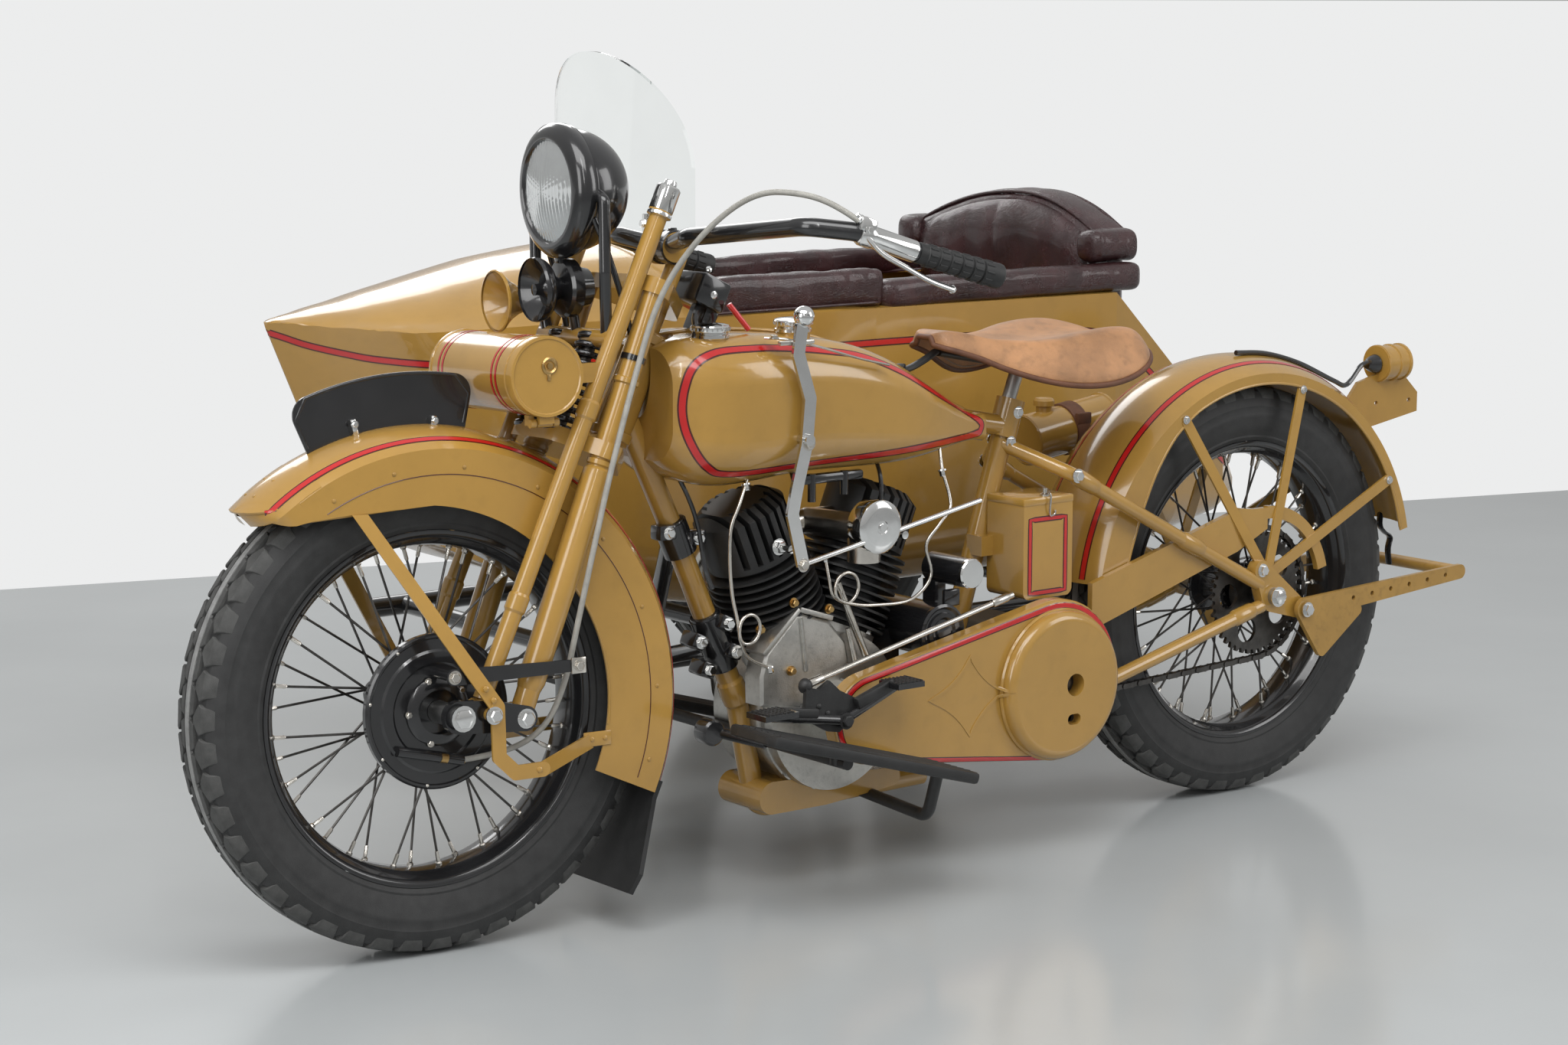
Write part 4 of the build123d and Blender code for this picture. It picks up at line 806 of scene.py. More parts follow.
def roll(path, half_wide, half_tall, name, body, replaces=(), square=0.62, pleats=0.0, seed=0.0,
         ends=0.10):
    """Stuffed leather roll along a path, rounded at its ends and creased across the top."""
    line = curve_points(path, 14)
    count = len(line)
    sides = 36
    verts = []
    for i, p in enumerate(line):
        t = i / (count - 1)
        reach = min(t, 1 - t) / ends
        shrink = 1 if reach >= 1 else math.sqrt(max(0.0, 1 - (1 - reach) ** 2)) * 0.985 + 0.015
        before, after = line[max(0, i - 1)], line[min(count - 1, i + 1)]
        along = (after - before).normalized()
        side = Vector((-along.y, along.x, 0)).normalized()
        for k in range(sides):
            a = 2 * math.pi * k / sides
            c, s = math.cos(a), math.sin(a)
            w = math.copysign(abs(c) ** square, c) * half_wide * shrink
            h = math.copysign(abs(s) ** square, s) * half_tall * (0.35 + 0.65 * shrink)
            q = p + side * w + Vector((0, 0, h))
            n = Vector((side.x * c, side.y * c, s))
            soft = noise.noise(Vector((q.x * 0.012 + seed, q.y * 0.03, q.z * 0.03)))
            crease = noise.noise(Vector((q.x * 0.085 + seed, q.y * 0.02, 7.7 + q.z * 0.022)))
            q += n * (1.8 * soft - pleats * max(0.0, crease) ** 1.2 * (0.5 + 0.5 * max(0.0, s)))
            verts.append(q)
    form = Form().add(verts, ring_faces(count, sides))
    piece = make(name, form, "oxblood", body, replaces=replaces, smooth=1, sharp=180)


def piping(name, path, radius=3.2):
    make(name, Form().tube(curve_points(path, 8), radius, 8), "oxblood", "chassis", sharp=180)


def make_sidecar_pads():
    for side, label in SIDES:
        y = SIDECAR_Y + side * 262
        front = [(390, y - side * 4, 806), (500, y - side * 3, 808), (650, y - side * 3, 808),
                 (774, y - side * 5, 806)]
        roll(front, 22, 31, f"coaming_pad_front_{label}", "chassis",
             ("coaming_pads",) if side > 0 else (), 0.55, 5.4, side * 3.3, 0.06)
        arm = [(-180, y, 797), (0, y, 797), (200, y, 797), (408, y, 794)]
        roll(arm, 24.5, 24.5, f"coaming_pad_arm_{label}", "chassis", (), 0.62, 5.2, side * 8.1, 0.05)
        piping(f"coaming_piping_{label}", [(412, y + side * 19, 784), (520, y + side * 20, 784),
                                           (660, y + side * 20, 784), (768, y + side * 18, 784)], 2.6)


def panel(rows, name, replaces=()):
    """Closed cushion from rows of front and back points."""
    faces, _ = sheet_faces(len(rows), len(rows[0][0]))
    verts = [p for front, _ in rows for p in front] + [p for _, back in rows for p in back]
    return make(name, Form().add(verts, faces), "oxblood", "chassis", replaces=replaces, smooth=1,
                sharp=180)


def back_top(dy):
    """Height of the seat back's arched top, fuller on the side of the machine."""
    reach = (dy - 40) / (212 if dy > 40 else 292)
    return 862 + 75 * (1 - reach ** 2)


def make_sidecar_seat():
    """Sewn seat cushion with stitched channels."""
    rows = []
    for i in range(29):
        u = i / 28
        x = -96 + 432 * u
        edge_u = min(u, 1 - u) * 2
        front, back = [], []
        for k in range(49):
            v = -1 + 2 * k / 48
            edge_v = 1 - abs(v)
            swell = min(1, edge_u * 3.2) ** 0.5 * min(1, edge_v * 4.2) ** 0.5
            channel = abs(math.sin(math.pi * 2.5 * (v + 1))) ** 0.35
            pull = 1 - 0.03 * (1 - abs(2 * u - 1) ** 2)
            y = SIDECAR_Y + v * 231 * (0.985 if edge_u < 0.08 else 1) * pull
            soft = 1.5 * noise.noise(Vector((x * 0.012, y * 0.012, 1.7)))
            front.append(Vector((x, y, 410 + 52 * swell + 7 * channel * swell + soft)))
            back.append(Vector((x, y, 322)))
        rows.append((front, back))
    panel(rows, "seat_cushion", ("sidecar_seat",))


def make_seat_back():
    """Channelled back panel, its wrapped base and wings, and the padded roll over them."""
    rows = []
    for i in range(33):
        u = i / 32
        front, back = [], []
        for k in range(57):
            v = -1 + 2 * k / 56
            edge = min(1, (1 - abs(v)) * 5) ** 0.5 * min(1, min(u, 1 - u) * 10) ** 0.5
            channel = abs(math.sin(math.pi * 3 * (v + 1))) ** 0.4
            z = 470 + (back_top(v * 225) - 14 - 470) * u
            half = 178 + 46 * min(1.0, max(0.0, (z - 740) / 50))
            soft = 2.6 * noise.noise(Vector((v * 6, z * 0.012, 3.3)))
            face = -100 + (20 + 4 * channel + soft) * edge
            front.append(Vector((face, SIDECAR_Y + v * half, z)))
            back.append(Vector((-116, SIDECAR_Y + v * half, z)))
        rows.append((front, back))
    panel(rows, "seat_back_panel")
    base = Form().block((-138, SIDECAR_Y, 790), (84, 462, 96), 14)
    make("seat_back_base", base, "oxblood", "chassis", sharp=60)
    for side, label in SIDES:
        y = SIDECAR_Y + side * 238
        wing = [(-182, y, 848), (-150, y, 850), (-110, y, 850), (-74, y, 848)]
        roll(wing, 30, 28, f"seat_back_wing_{label}", "chassis", (), 0.7, 2.0, side * 1.7, 0.16)
    make_seat_roll()
    for x, label, drop in ((-176, "rear", 6), (-106, "front", 5)):
        path = [(x, SIDECAR_Y + dy, back_top(dy) - drop) for dy in range(-225, 226, 45)]
        piping(f"seat_back_piping_{label}", path, 3.4)


def make_seat_roll():
    """Arched roll on top of the seat back, folded where the leather is drawn over it."""
    ring, steps, low = 40, 60, 824
    verts = []
    for i in range(steps + 1):
        dy = -252 + 504 * i / steps
        top = back_top(dy)
        reach = min(i, steps - i) / 5
        shrink = 1 if reach >= 1 else math.sqrt(max(0.0, 1 - (1 - reach) ** 2)) * 0.9 + 0.1
        mid_z, half_z = (top + low) / 2, (top - low) / 2
        for k in range(ring):
            a = 2 * math.pi * k / ring
            c, s = math.cos(a), math.sin(a)
            w = math.copysign(abs(c) ** 0.6, c) * 46 * (0.45 + 0.55 * shrink)
            h = math.copysign(abs(s) ** 0.6, s) * half_z * (0.55 + 0.45 * shrink)
            lean = -10 * (h / half_z)
            q = Vector((-138 + w + lean * 0.6, SIDECAR_Y + dy, mid_z + h))
            n = Vector((c, 0, s))
            fold = noise.noise(Vector((q.y * 0.028, q.z * 0.012, q.x * 0.01 + 4)))
            wide_fold = noise.noise(Vector((q.y * 0.009, q.z * 0.02, 9.1)))
            q += n * (1.6 * wide_fold - 3.4 * max(0.0, fold) ** 1.3)
            verts.append(q)
    form = Form().add(verts, ring_faces(steps + 1, ring))
    bolster = make("seat_back_roll", form, "oxblood", "chassis", replaces=("sidecar_seat_back",),
                   smooth=1, sharp=180)


# Painted lines

def belt(a, ra, b, rb, y, steps=24):
    """Closed line wrapped round two circles in side view, given as (x, z)."""
    dx, dz = b[0] - a[0], b[1] - a[1]
    base = math.atan2(dz, dx)
    lean = math.acos((ra - rb) / math.hypot(dx, dz))
    out = []
    for centre, r, start, end in ((a, ra, base + lean, base - lean + 2 * math.pi),
                                  (b, rb, base - lean, base + lean)):
        for i in range(steps + 1):
            t = start + (end - start) * i / steps
            out.append(Vector((centre[0] + r * math.cos(t), y, centre[1] + r * math.sin(t))))
    return filled(out, 12)


TANK_LINE = [(1148, 717), (1136, 764), (1098, 786), (1030, 789), (966, 785), (900, 777), (833, 765),
             (760, 738), (685, 702), (610, 668), (566, 647), (563, 634), (582, 628), (680, 626),
             (783, 623), (925, 620), (1067, 617), (1110, 630), (1139, 668)]
BODY_LINE = [(1371, 2, 772), (1352, 20, 764), (1333, 60, 754), (1297, 104, 743), (1257, 140, 734),
             (1183, 190, 726), (1080, 225, 723), (950, 250, 721), (760, 276, 720), (520, 284, 720),
             (300, 284, 719), (100, 284, 717), (-30, 284, 712), (-110, 284, 694), (-176, 272, 652),
             (-240, 258, 606), (-320, 244, 548), (-400, 220, 488), (-480, 184, 436)]


# Shells that follow the photo more closely than the solids

SKIRT_LOW = [(48.5, 376), (49.5, 364), (50.5, 350), (51.5, 340), (53, 331), (57.6, 319), (60, 315),
             (69, 291), (72, 286), (102, 269), (140, 250)]
REAR_SKIRT = [(9, 300), (24, 301), (34, 307), (44, 318), (54, 329), (64, 335)]
LIP_WALL = 2.2
LIP_WIDTH = [(63, 1), (61, 1), (59, 1), (57, 1), (55, 1), (53.5, 0.995), (52.2, 0.97), (51.2, 0.91),
             (50.3, 0.80), (49.5, 0.62), (48.9, 0.40), (48.5, 0.12)]
PROW_START, PROW_SPREAD, PROW_CURVE = 980, 1.24, 0.0012
STEM_X, STEM_Z, STEM_RAKE, STEM_HALF = 1323.3, 669.6, 0.4265, 1.5
DECK_DROP = [(980, 0), (1120, 8), (1240, 13), (1320, 10), (1370, 2)]


def turn_and_radius(p, axle):
    """Place of a point about an axle, its turn in degrees."""
    return math.degrees(math.atan2(p.z - axle.z, p.x - axle.x)), math.hypot(p.x - axle.x, p.z - axle.z)


def move_fender(p):
    """Front fender's skirt raised toward its tip."""
    turn, r = turn_and_radius(p, FRONT_AXLE)
    if abs(p.y) < 79 and 50 < turn < 140 and r < 320:
        return around(FRONT_AXLE, max(r, between(SKIRT_LOW, turn)), p.y, math.radians(turn))
    return p


def move_rear_fender(p):
    """Rear fender's skirt with one even curve in place of its step."""
    turn, r = turn_and_radius(p, REAR_AXLE)
    if 76 < abs(p.y) < 81 and 14 < turn < 70 and 296 < r < 340:
        return around(REAR_AXLE, between(REAR_SKIRT, turn), p.y, math.radians(turn))
    return p


def move_hull(p):
    """Fore end drawn in to a sharp raked stem, with a straighter deck line."""
    if p.x < PROW_START:
        return p
    z = p.z - between(DECK_DROP, p.x) * min(1.0, max(0.0, (p.z - 772) / 24))
    stem = STEM_X + STEM_RAKE * (z - STEM_Z)
    x = min(p.x, stem)
    run = stem - x
    half = min(abs(p.y - SIDECAR_Y), PROW_SPREAD * run - PROW_CURVE * run ** 2 + STEM_HALF)
    return Vector((x, SIDECAR_Y + math.copysign(half, p.y - SIDECAR_Y), z))


def make_shells():
    reshape("front_fender", "front_fender_shell", "olive", "fork", move_fender)
    reshape("rear_fender", "rear_fender_shell", "olive", "chassis", move_rear_fender)
    reshape("sidecar_body", "sidecar_shell", "olive", "chassis", move_hull)


def make_fender_lip():
    """Rounded tip that carries the front fender's crown on down to its pointed front edge."""
    target = surface_of("front_fender")
    ys = [-74.6 + 149.2 * k / 20 for k in range(21)]
    rise = []
    at = math.radians(75)
    out = Vector((math.cos(at), 0, math.sin(at)))
    for y in ys:
        y2 = max(-73.5, min(73.5, y))
        start = FORK @ (FRONT_AXLE + out * 480 + Vector((0, y2, 0)))
        hit, _, _, _ = target.ray_cast(start, FORK.to_3x3().normalized() @ -out)
        p = FORK.inverted() @ hit
        rise.append(math.hypot(p.x - FRONT_AXLE.x, p.z - FRONT_AXLE.z) + 0.5)
    rows = []
    for turn, wide in LIP_WIDTH:
        a = math.radians(turn)
        n = Vector((math.cos(a), 0, math.sin(a)))
        edge = between(SKIRT_LOW, turn)
        low, middle = (min(rise[0] - 1, rise[0] + (edge - rise[0]) * s) for s in (1.0, 0.5))
        half = 75.2 * wide
        crest = [(y * wide, r, n, 1) for y, r in zip(ys, rise)]
        rows.append([(-half, low, n, 0), (-half, middle, n, 0), *crest, (half, middle, n, 0),
                     (half, low, n, 0)])
    verts = []
    for thick in (0, LIP_WALL):
        for row in rows:
            for y, r, n, top in row:
                inset = 1 - thick / 75
                verts.append(FRONT_AXLE + n * (r - thick * top) + Vector((0, y * inset, 0)))
    faces, _ = sheet_faces(len(rows), len(rows[0]))
    lip = make("front_fender_lip", Form().add(verts, faces), "olive", "fork", sharp=40)
    RESHAPED["front_fender_lip"] = lip.data


def make_stripes():
    hull = surface_of("sidecar_body")
    eye = bpy.context.scene.camera.matrix_world.translation
    for side, label in SIDES:
        line = curve_points([(x, side * 160, z) for x, z in TANK_LINE], 8, closed=True)
        paint_line(f"tank_line_{label}", ("fuel_tank",), [line], "chassis", 9, 14, True, (0, -side, 0))
        line = []
        for p in curve_points([(x, SIDECAR_Y + y, z) for x, y, z in BODY_LINE], 8):
            middle = Vector((min(p.x, 1120), SIDECAR_Y, p.z))
            out = (p - middle).normalized()
            if p.x > 1150:
                hit, _, _, _ = hull.ray_cast(eye, (BIKE @ p - eye).normalized())
            else:
                hit, _, _, _ = hull.ray_cast(BIKE @ (middle + out * 600), -out)
            at = BIKE.inverted() @ hit if hit is not None else p
            line.append(Vector((at.x, SIDECAR_Y + side * (at.y - SIDECAR_Y), at.z)))
        paint_line(f"sidecar_line_{label}", ("sidecar_body",), [line], "chassis", 8, 12.5, False)
    front = [circle_line(FRONT_AXLE, FRONT_FENDER_R, y, 49.5, 204, 100) for y in (64, -64)]
    paint_line("front_fender_line", ("front_fender", "front_fender_lip"), front, "fork", 7, 11, False)
    rear = [circle_line(REAR_AXLE, FENDER_R, y, 9, 167, 90) for y in (56, -56)]
    paint_line("rear_fender_line", ("rear_fender",), rear, "chassis", 7, 11, False)
    side = [circle_line(SIDE_AXLE, FENDER_R, y, 16, 164, 90) for y in (52, -52)]
    paint_line("sidecar_fender_line", ("sidecar_fender",), side, "chassis", 7, 11, False)
    cover = belt((490, 258), 116, (848, 248), 60, 150)
    paint_line("primary_line", ("primary_cover",), [cover], "chassis", 6.5, 10, True, (0, -1, 0))
    drum = [circle_line(TOOL_DRUM, 53, y, 0, 360, 56)[:-1] for y in (74, 62, -84, -96)]
    paint_line("tool_drum_line", ("toolbox",), drum, "fork", 3.4, 5.6, True)
    box = []
    corners = [(446, 389), (517, 389), (517, 500), (446, 500)]
    for (x0, z0), (x1, z1) in zip(corners, corners[1:] + corners[:1]):
        box += [Vector((x0 + (x1 - x0) * i / 8, 106, z0 + (z1 - z0) * i / 8)) for i in range(8)]
    paint_line("battery_line", ("battery_box",), [box], "chassis", 5, 9, True, (0, -1, 0))


# Fork dressing

LENS_R, LENS_WALL, LENS_RIB, LENS_PITCH = 69.5, 3, 1.7, 7.5


def make_headlamp():
    rim = Form()
    ring = [(66, -2), (67, 8), (71, 12), (77, 12), (85, 8), (91, 1), (92, -6), (91, -14), (88, -20),
            (84, -21), (70, -4)]
    rim.lathe(ring, LAMP, X, 72, closed=True)
    rim.block(LAMP + Vector((-8, 0, -93)), (16, 14, 10), 2)
    make("headlamp_rim", rim, "black", "fork", sharp=40)
    dish = Form()
    dish.lathe([(0, 13), (20, 12.4), (40, 9.4), (60, 5), (73, 0.8), (76, 0.4), (76, -1), (73, -1),
                (60, 3.4), (40, 7.8), (20, 10.9), (0, 11.6)], LAMP, X, 56)
    make("headlamp_reflector", dish, "chrome", "fork", sharp=60)
    make_lens()


def make_lens():
    """Bulged glass with upright ribs on its outside: the inner face from its middle out, then the outer."""
    verts = []
    steps, rings = 160, 26
    radii = [LENS_R * j / rings for j in range(rings + 1)]
    for outside, order in ((0, radii), (1, reversed(radii))):
        for r in order:
            bulge = 19 - 12.5 * (r / LENS_R) ** 2 - (0 if outside else LENS_WALL)
            for k in range(steps):
                a = 2 * math.pi * k / steps
                y = r * math.cos(a)
                rib = outside * LENS_RIB * abs(math.sin(math.pi * y / LENS_PITCH))
                verts.append(LAMP + Vector((bulge + rib, y, r * math.sin(a))))
    form = Form().add(verts, ring_faces(2 * len(radii), steps))
    make("headlamp_lens", form, "lens", "fork", sharp=60, weld=0.00002)


def make_fork_dress():
    chrome, olive, black = Form(), Form(), Form()
    for side in (1, -1):
        top, low = Vector((1155, side * FORK_Y, 1008)), Vector((1174, side * FORK_Y, 967))
        down = (low - top).normalized()
        chrome.lathe([(0, -11), (8, -11), (9, -9), (9, -3), (15, -2.5), (17, 0), (17, 32), (16, 34),
                      (17.2, 36), (17.2, 40), (13, 42), (0, 42)], top, down, 36)
        leg_top, leg_low = Vector((1182, side * FORK_Y, 871)), Vector((1406, side * FORK_Y, 322))
        leg = (leg_low - leg_top).normalized()
        for at, grooves in ((128, 1), (222, 3), (345, 1)):
            for g in range(grooves):
                olive.collar(15.9, 18.6, 5, 3, leg_top + leg * (at + g * 11), leg, 32)
        sleeve = leg_top + leg * 250
        olive.lathe([(15.8, 0), (19.4, 4), (20.4, 14), (20, 150), (19.2, 300), (16, 312)], sleeve, leg,
                    32, closed=True)
        black.collar(15.9, 17.6, 4, 4, leg_top + leg * 96, leg, 32)
        spring_top = Vector((1170, side * FORK_Y, 976))
        spring = (Vector((1464, side * FORK_Y, 346)) - spring_top).normalized()
        for at in (285, 560):
            olive.collar(12.4, 14.6, 14, 10, spring_top + spring * at, spring, 28)
        chrome.bolt((1414, side * 126, 318), Y * side, 10, 10)
        chrome.bolt((1468, side * 140, 330), Y * side, 9, 9)
        chrome.bolt((WHEELBASE, side * 136, AXLE_Z), Y * side, 13, 6)
        for x, y, z in ((1478, 139, 366), (1468, 140.4, 350), (1404, 140, 250), (1392, 137, 251)):
            olive.dome((x, side * y, z), Y * side, 4.4, 2.6)
    make("fork_chrome", chrome, "chrome", "fork")
    make("fork_collars", olive, "olive", "fork", sharp=25)
    make("fork_bands", black, "black", "fork")


def make_fork_springs():
    springs, rods = Form(), Form()
    for side in (1, -1):
        low, high = Vector((1312, side * 42, 680)), Vector((1248, side * 42, 812))
        springs.coil(low, high, 17, 4.6, 11, 8)
        rods.tube([low, high], 9, 14)
    make("fork_spring_coils", springs, "black", "fork", replaces=("fork_springs",), sharp=60)
    make("fork_spring_rods", rods, "dark_steel", "fork")


def make_second_horn():
    """Small horn beside the lamp, and the stays of horn and lamp."""
    bell, stays = Form(), Form()
    mouth = Vector((1330, -86, 860))
    bell.lathe([(41, 0), (43, -1), (43, -4), (38, -9), (28, -20), (20, -34), (15, -50), (12, -66),
                (0, -67), (0, -63), (10, -62), (13, -49), (18, -33), (26, -19), (36, -8), (40, -3)],
               mouth, X, 44)
    make("second_horn", bell, "olive", "fork", sharp=40)
    stays.tube(curve_points([(1266, -86, 860), (1254, -88, 858), (1242, -92, 852), (1232, -97, 846)], 6),
               6, 12)
    for y in (80, -80):
        stays.tube(curve_points([(1262, y, 972), (1246, y * 1.04, 930), (1226, y * 1.1, 860),
                                 (1214, y * 1.14, 800)], 6), 4.2, 10)
    make("lamp_stays", stays, "black", "fork", sharp=40)


def make_strap_ends():
    ends = Form()
    for side in (1, -1):
        ends.block((1281, side * 75.6, 268), (42, 3.6, 20), 1.2)
        for x in (1270, 1290):
            ends.dome((x, side * 77.2, 268), Y * side, 3.6, 2.2)
    make("fender_strap_ends", ends, "olive", "fork", sharp=30)


def make_brake_dress():
    drum, chrome, brass = Form(), Form(), Form()
    c = FRONT_AXLE
    drum.lathe([(86, 58), (96, 58), (99, 61), (102, 61), (104.5, 58), (104.5, 50), (101, 50)], c, Y, 80,
               closed=True)
    drum.lathe([(30, 58), (46, 58), (46, 62), (40, 66), (30, 67)], c, Y, 48, closed=True)
    drum.lathe([(62, 58.5), (84, 58.5), (80, 61.5), (66, 61.5)], c, Y, 64, closed=True)
    make("brake_drum_rings", drum, "black", "fork", sharp=30)
    for i in range(8):
        a = 2 * math.pi * i / 8 + 0.2
        chrome.dome(around(c, 99.5, 60.5, a), Y, 2.6, 2, 10)
    for i in range(5):
        a = 2 * math.pi * i / 5
        chrome.bolt(around(c, 43, 62, a), Y, 4, 4)
    chrome.bolt((1514, 120.8, 383), Y, 7, 6)
    chrome.block((1331, 122, 380), (22, 4, 22), 1.4)
    chrome.bolt((1331, 124, 380), Y, 6, 5)
    make("brake_bolts", chrome, "nickel", "fork")
    brass.lathe([(0, 0), (4, 0), (4.6, 2), (4.6, 24), (6.8, 26), (6.8, 36), (0, 36)], (1478, 66, 260.4),
                (0.97, 0, 0.236), 14)
    make("brake_cable_end", brass, "brass", "fork")


CABLE = [(1030, 372, 962), (1052, 358, 982), (1086, 330, 1000), (1122, 266, 1004), (1160, 192, 952),
         (1200, 138, 868), (1236, 125, 750), (1276, 125, 630), (1306, 122, 520), (1326, 112, 430),
         (1336, 92, 350), (1366, 84, 290), (1424, 74, 264), (1486, 66, 262)]


def make_cable():
    data = bpy.data.curves.new("front_brake_cable", "CURVE")
    data.dimensions = "3D"
    data.bevel_depth = 0.004
    data.bevel_resolution = 4
    data.resolution_u = 12
    data.use_fill_caps = True
    spline = data.splines.new("NURBS")
    spline.points.add(len(CABLE) - 1)
    for point, at in zip(spline.points, CABLE):
        point.co = (*(FORK @ Vector(at)), 1)
    spline.order_u = 3
    spline.use_endpoint_u = True
    obj = bpy.data.objects.new("front_brake_cable", data)
    bpy.context.scene.collection.objects.link(obj)
    data.materials.append(MATERIALS["cable"])
    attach(obj, "fork")
    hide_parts("brake_cable")


def make_grips():
    form = Form()
    for side in (1, -1):
        start, end = Vector((811, side * 378.2, 879.8)), Vector((941, side * 372.2, 917.8))
        axis = (end - start).normalized()
        long = (end - start).length
        profile = [(0, 0), (14, 0), (16.6, 2), (17.4, 6), (17, 14)]
        for i in range(6):
            at = 18 + i * 18
            profile += [(16.4 - i * 0.3, at), (16.6 - i * 0.3, at + 14.5), (14, at + 15.4),
                        (14, at + 17.2)]
        profile += [(14.6, long - 3), (13.8, long), (0, long)]
        form.lathe(profile, start, axis, 40)
        _, u, w = basis(axis)
        for k in range(10):
            a = 2 * math.pi * k / 10
            out = math.cos(a) * u + math.sin(a) * w
            for i in range(6):
                rib = start + axis * (20 + i * 18) + out * (16.2 - i * 0.3)
                form.tube([rib, rib + axis * 11], 1.7, 6)
    make("rubber_grips", form, "rubber", "fork", replaces=("grips",), sharp=30)


def make_handlebar_clamp():
    clamp = Form()
    for y in (-18, 18):
        clamp.bolt((1105, y, 948), Z, 6, 5)
    clamp.lathe([(22, -27), (24, -25), (24, -10), (22, -8), (22, 8), (24, 10), (24, 25), (22, 27)],
                (1105, 0, 926), Y, 36, closed=True)
    make("handlebar_clamp", clamp, "black", "fork")


def make_hand_lever():
    """Brake lever below the grip, with its sleeve, its bracket and the end of the cable."""
    lever = Form()
    along = Vector((84, -7, 29)).normalized()
    sleeve = Vector((944, 372, 918.6))
    lever.lathe([(12.4, 0), (14.4, 1), (14.8, 3), (14.8, 66), (16.2, 68), (16.2, 84), (14.6, 87),
                 (12.4, 88)], sleeve, along, 36, closed=True)
    lever.block((1018, 374, 956), (24, 14, 20), 4, Matrix.Rotation(-0.33, 3, "Y"))
    lever.lathe([(0, 0), (6, 0), (6.6, 2), (6.6, 14), (5, 16), (5, 20), (0, 20)], (1018, 373, 956),
                (0.72, -0.2, 0.66), 18)
    blade = curve_points([(1024, 372, 950), (1016, 380, 934), (1002, 386, 918), (972, 392, 900),
                          (936, 394, 881), (900, 394, 868)], 6)
    lever.tube(blade, 6, 14, flat=0.6)
    lever.dome((900, 394, 868), (-0.94, 0, -0.33), 6, 5, 14)
    lever.bolt((1020, 381, 950), (0, 1, 0), 5, 5)
    make("hand_lever", lever, "chrome", "fork", replaces=("brake_lever",))


def make_tool_drum_dress():
    lid, lock = Form(), Form()
    c = TOOL_DRUM + Y * 120
    lid.lathe([(47.5, -1), (50, 1.6), (53.6, 1.6), (54.4, -1), (54.4, -13), (52.5, -13)], c, Y, 64,
              closed=True)
    make("tool_lid_bead", lid, "olive", "tool_lid", sharp=30)
    at = c + Vector((-4, 0, 14))
    lock.lathe([(7.5, -0.5), (11.5, -0.5), (11.8, 1.6), (9.5, 3), (7.2, 1.6)], at, Y, 32, closed=True)
    lock.lathe([(0, -0.5), (4.4, -0.5), (4, 2.6), (0, 2.8)], at, Y, 20)
    lock.block(at + Vector((2, 1, -15)), (5, 2.2, 9), 0.8)
    make("tool_lid_lock", lock, "brass", "tool_lid")
    drum = Form()
    for y in (-119.5, 100):
        drum.collar(52.6, 54.6, 3, 2, TOOL_DRUM + Y * y, Y, 64)
    make("tool_drum_beads", drum, "olive", "fork", sharp=30)


def make_fender_dress():
    front, bead, rivets, clips = Form(), Form(), Form(), Form()
    for side in (1, -1):
        front.tube(circle_line(FRONT_AXLE, 316, side * 75.1, 61, 203, 60), 0.7, 6)
        bead.tube(circle_line(FRONT_AXLE, 251.5, side * FRONT_FENDER_SIDE, 142, 190, 40), 1.9, 8)
        for a in (64, 80, 98, 118, 140, 160, 180, 198):
            rivets.dome(around(FRONT_AXLE, 326, side * FRONT_FENDER_SIDE, math.radians(a)), Y * side, 3,
                        1.8, 12)
    target = surface_of("front_fender")
    for a in (53, 58):
        for y in (-14, 14):
            t = math.radians(a)
            hit, _, _, _ = target.find_nearest(FORK @ around(FRONT_AXLE, 378, y, t))
            p = FORK.inverted() @ hit
            rivets.dome(p, (math.cos(t), 0, math.sin(t)), 2.6, 1.6, 12)
    make("fender_panel_line", front, "edging", "fork")
    make("fender_bead", bead, "olive", "fork", sharp=60)
    make("fender_rivets", rivets, "olive_dull", "fork")
    for x, z in ((1589, 706), (1475, 703)):
        n = (Vector((x, 0, z)) - FRONT_AXLE).normalized()
        clips.block(Vector((x, 4, z)) + n * 4, (8, 9, 22), 2,
                    basis(n)[0].to_track_quat("Z", "X").to_matrix())
        clips.bolt(Vector((x, 9, z)) + n * 8, Y, 4, 4)
    make("plate_clips", clips, "chrome", "fork")
    plate = Form()
    front_edge = [around(FRONT_AXLE, r, 0, math.radians(a)) for r, a in ((384, 68), (424, 67.9))]
    rear_edge = [around(FRONT_AXLE, r, 0, math.radians(a)) for r, a in ((424, 102.6), (384, 102.5))]
    edge = front_edge + circle_line(FRONT_AXLE, 445.5, 0, 71, 99.5, 30) + rear_edge
    plate.tube(edge, 2.6, 8)
    make("plate_edge", plate, "black", "fork", sharp=60)


# Engine dressing

def plate_form(outline, y_low, y_high, bevel):
    """Upright plate from a side outline of (x, z), its outer edge bevelled."""
    count = len(outline)
    mid = Vector((sum(x for x, _ in outline) / count, 0, sum(z for _, z in outline) / count))
    verts = []
    for y, inset in ((y_low, 0), (y_high - bevel * 0.7, 0), (y_high, bevel)):
        for x, z in outline:
            p = Vector((x, 0, z))
            verts.append(p - (p - mid).normalized() * inset + Vector((0, y, 0)))
    return verts, ring_faces(3, count)


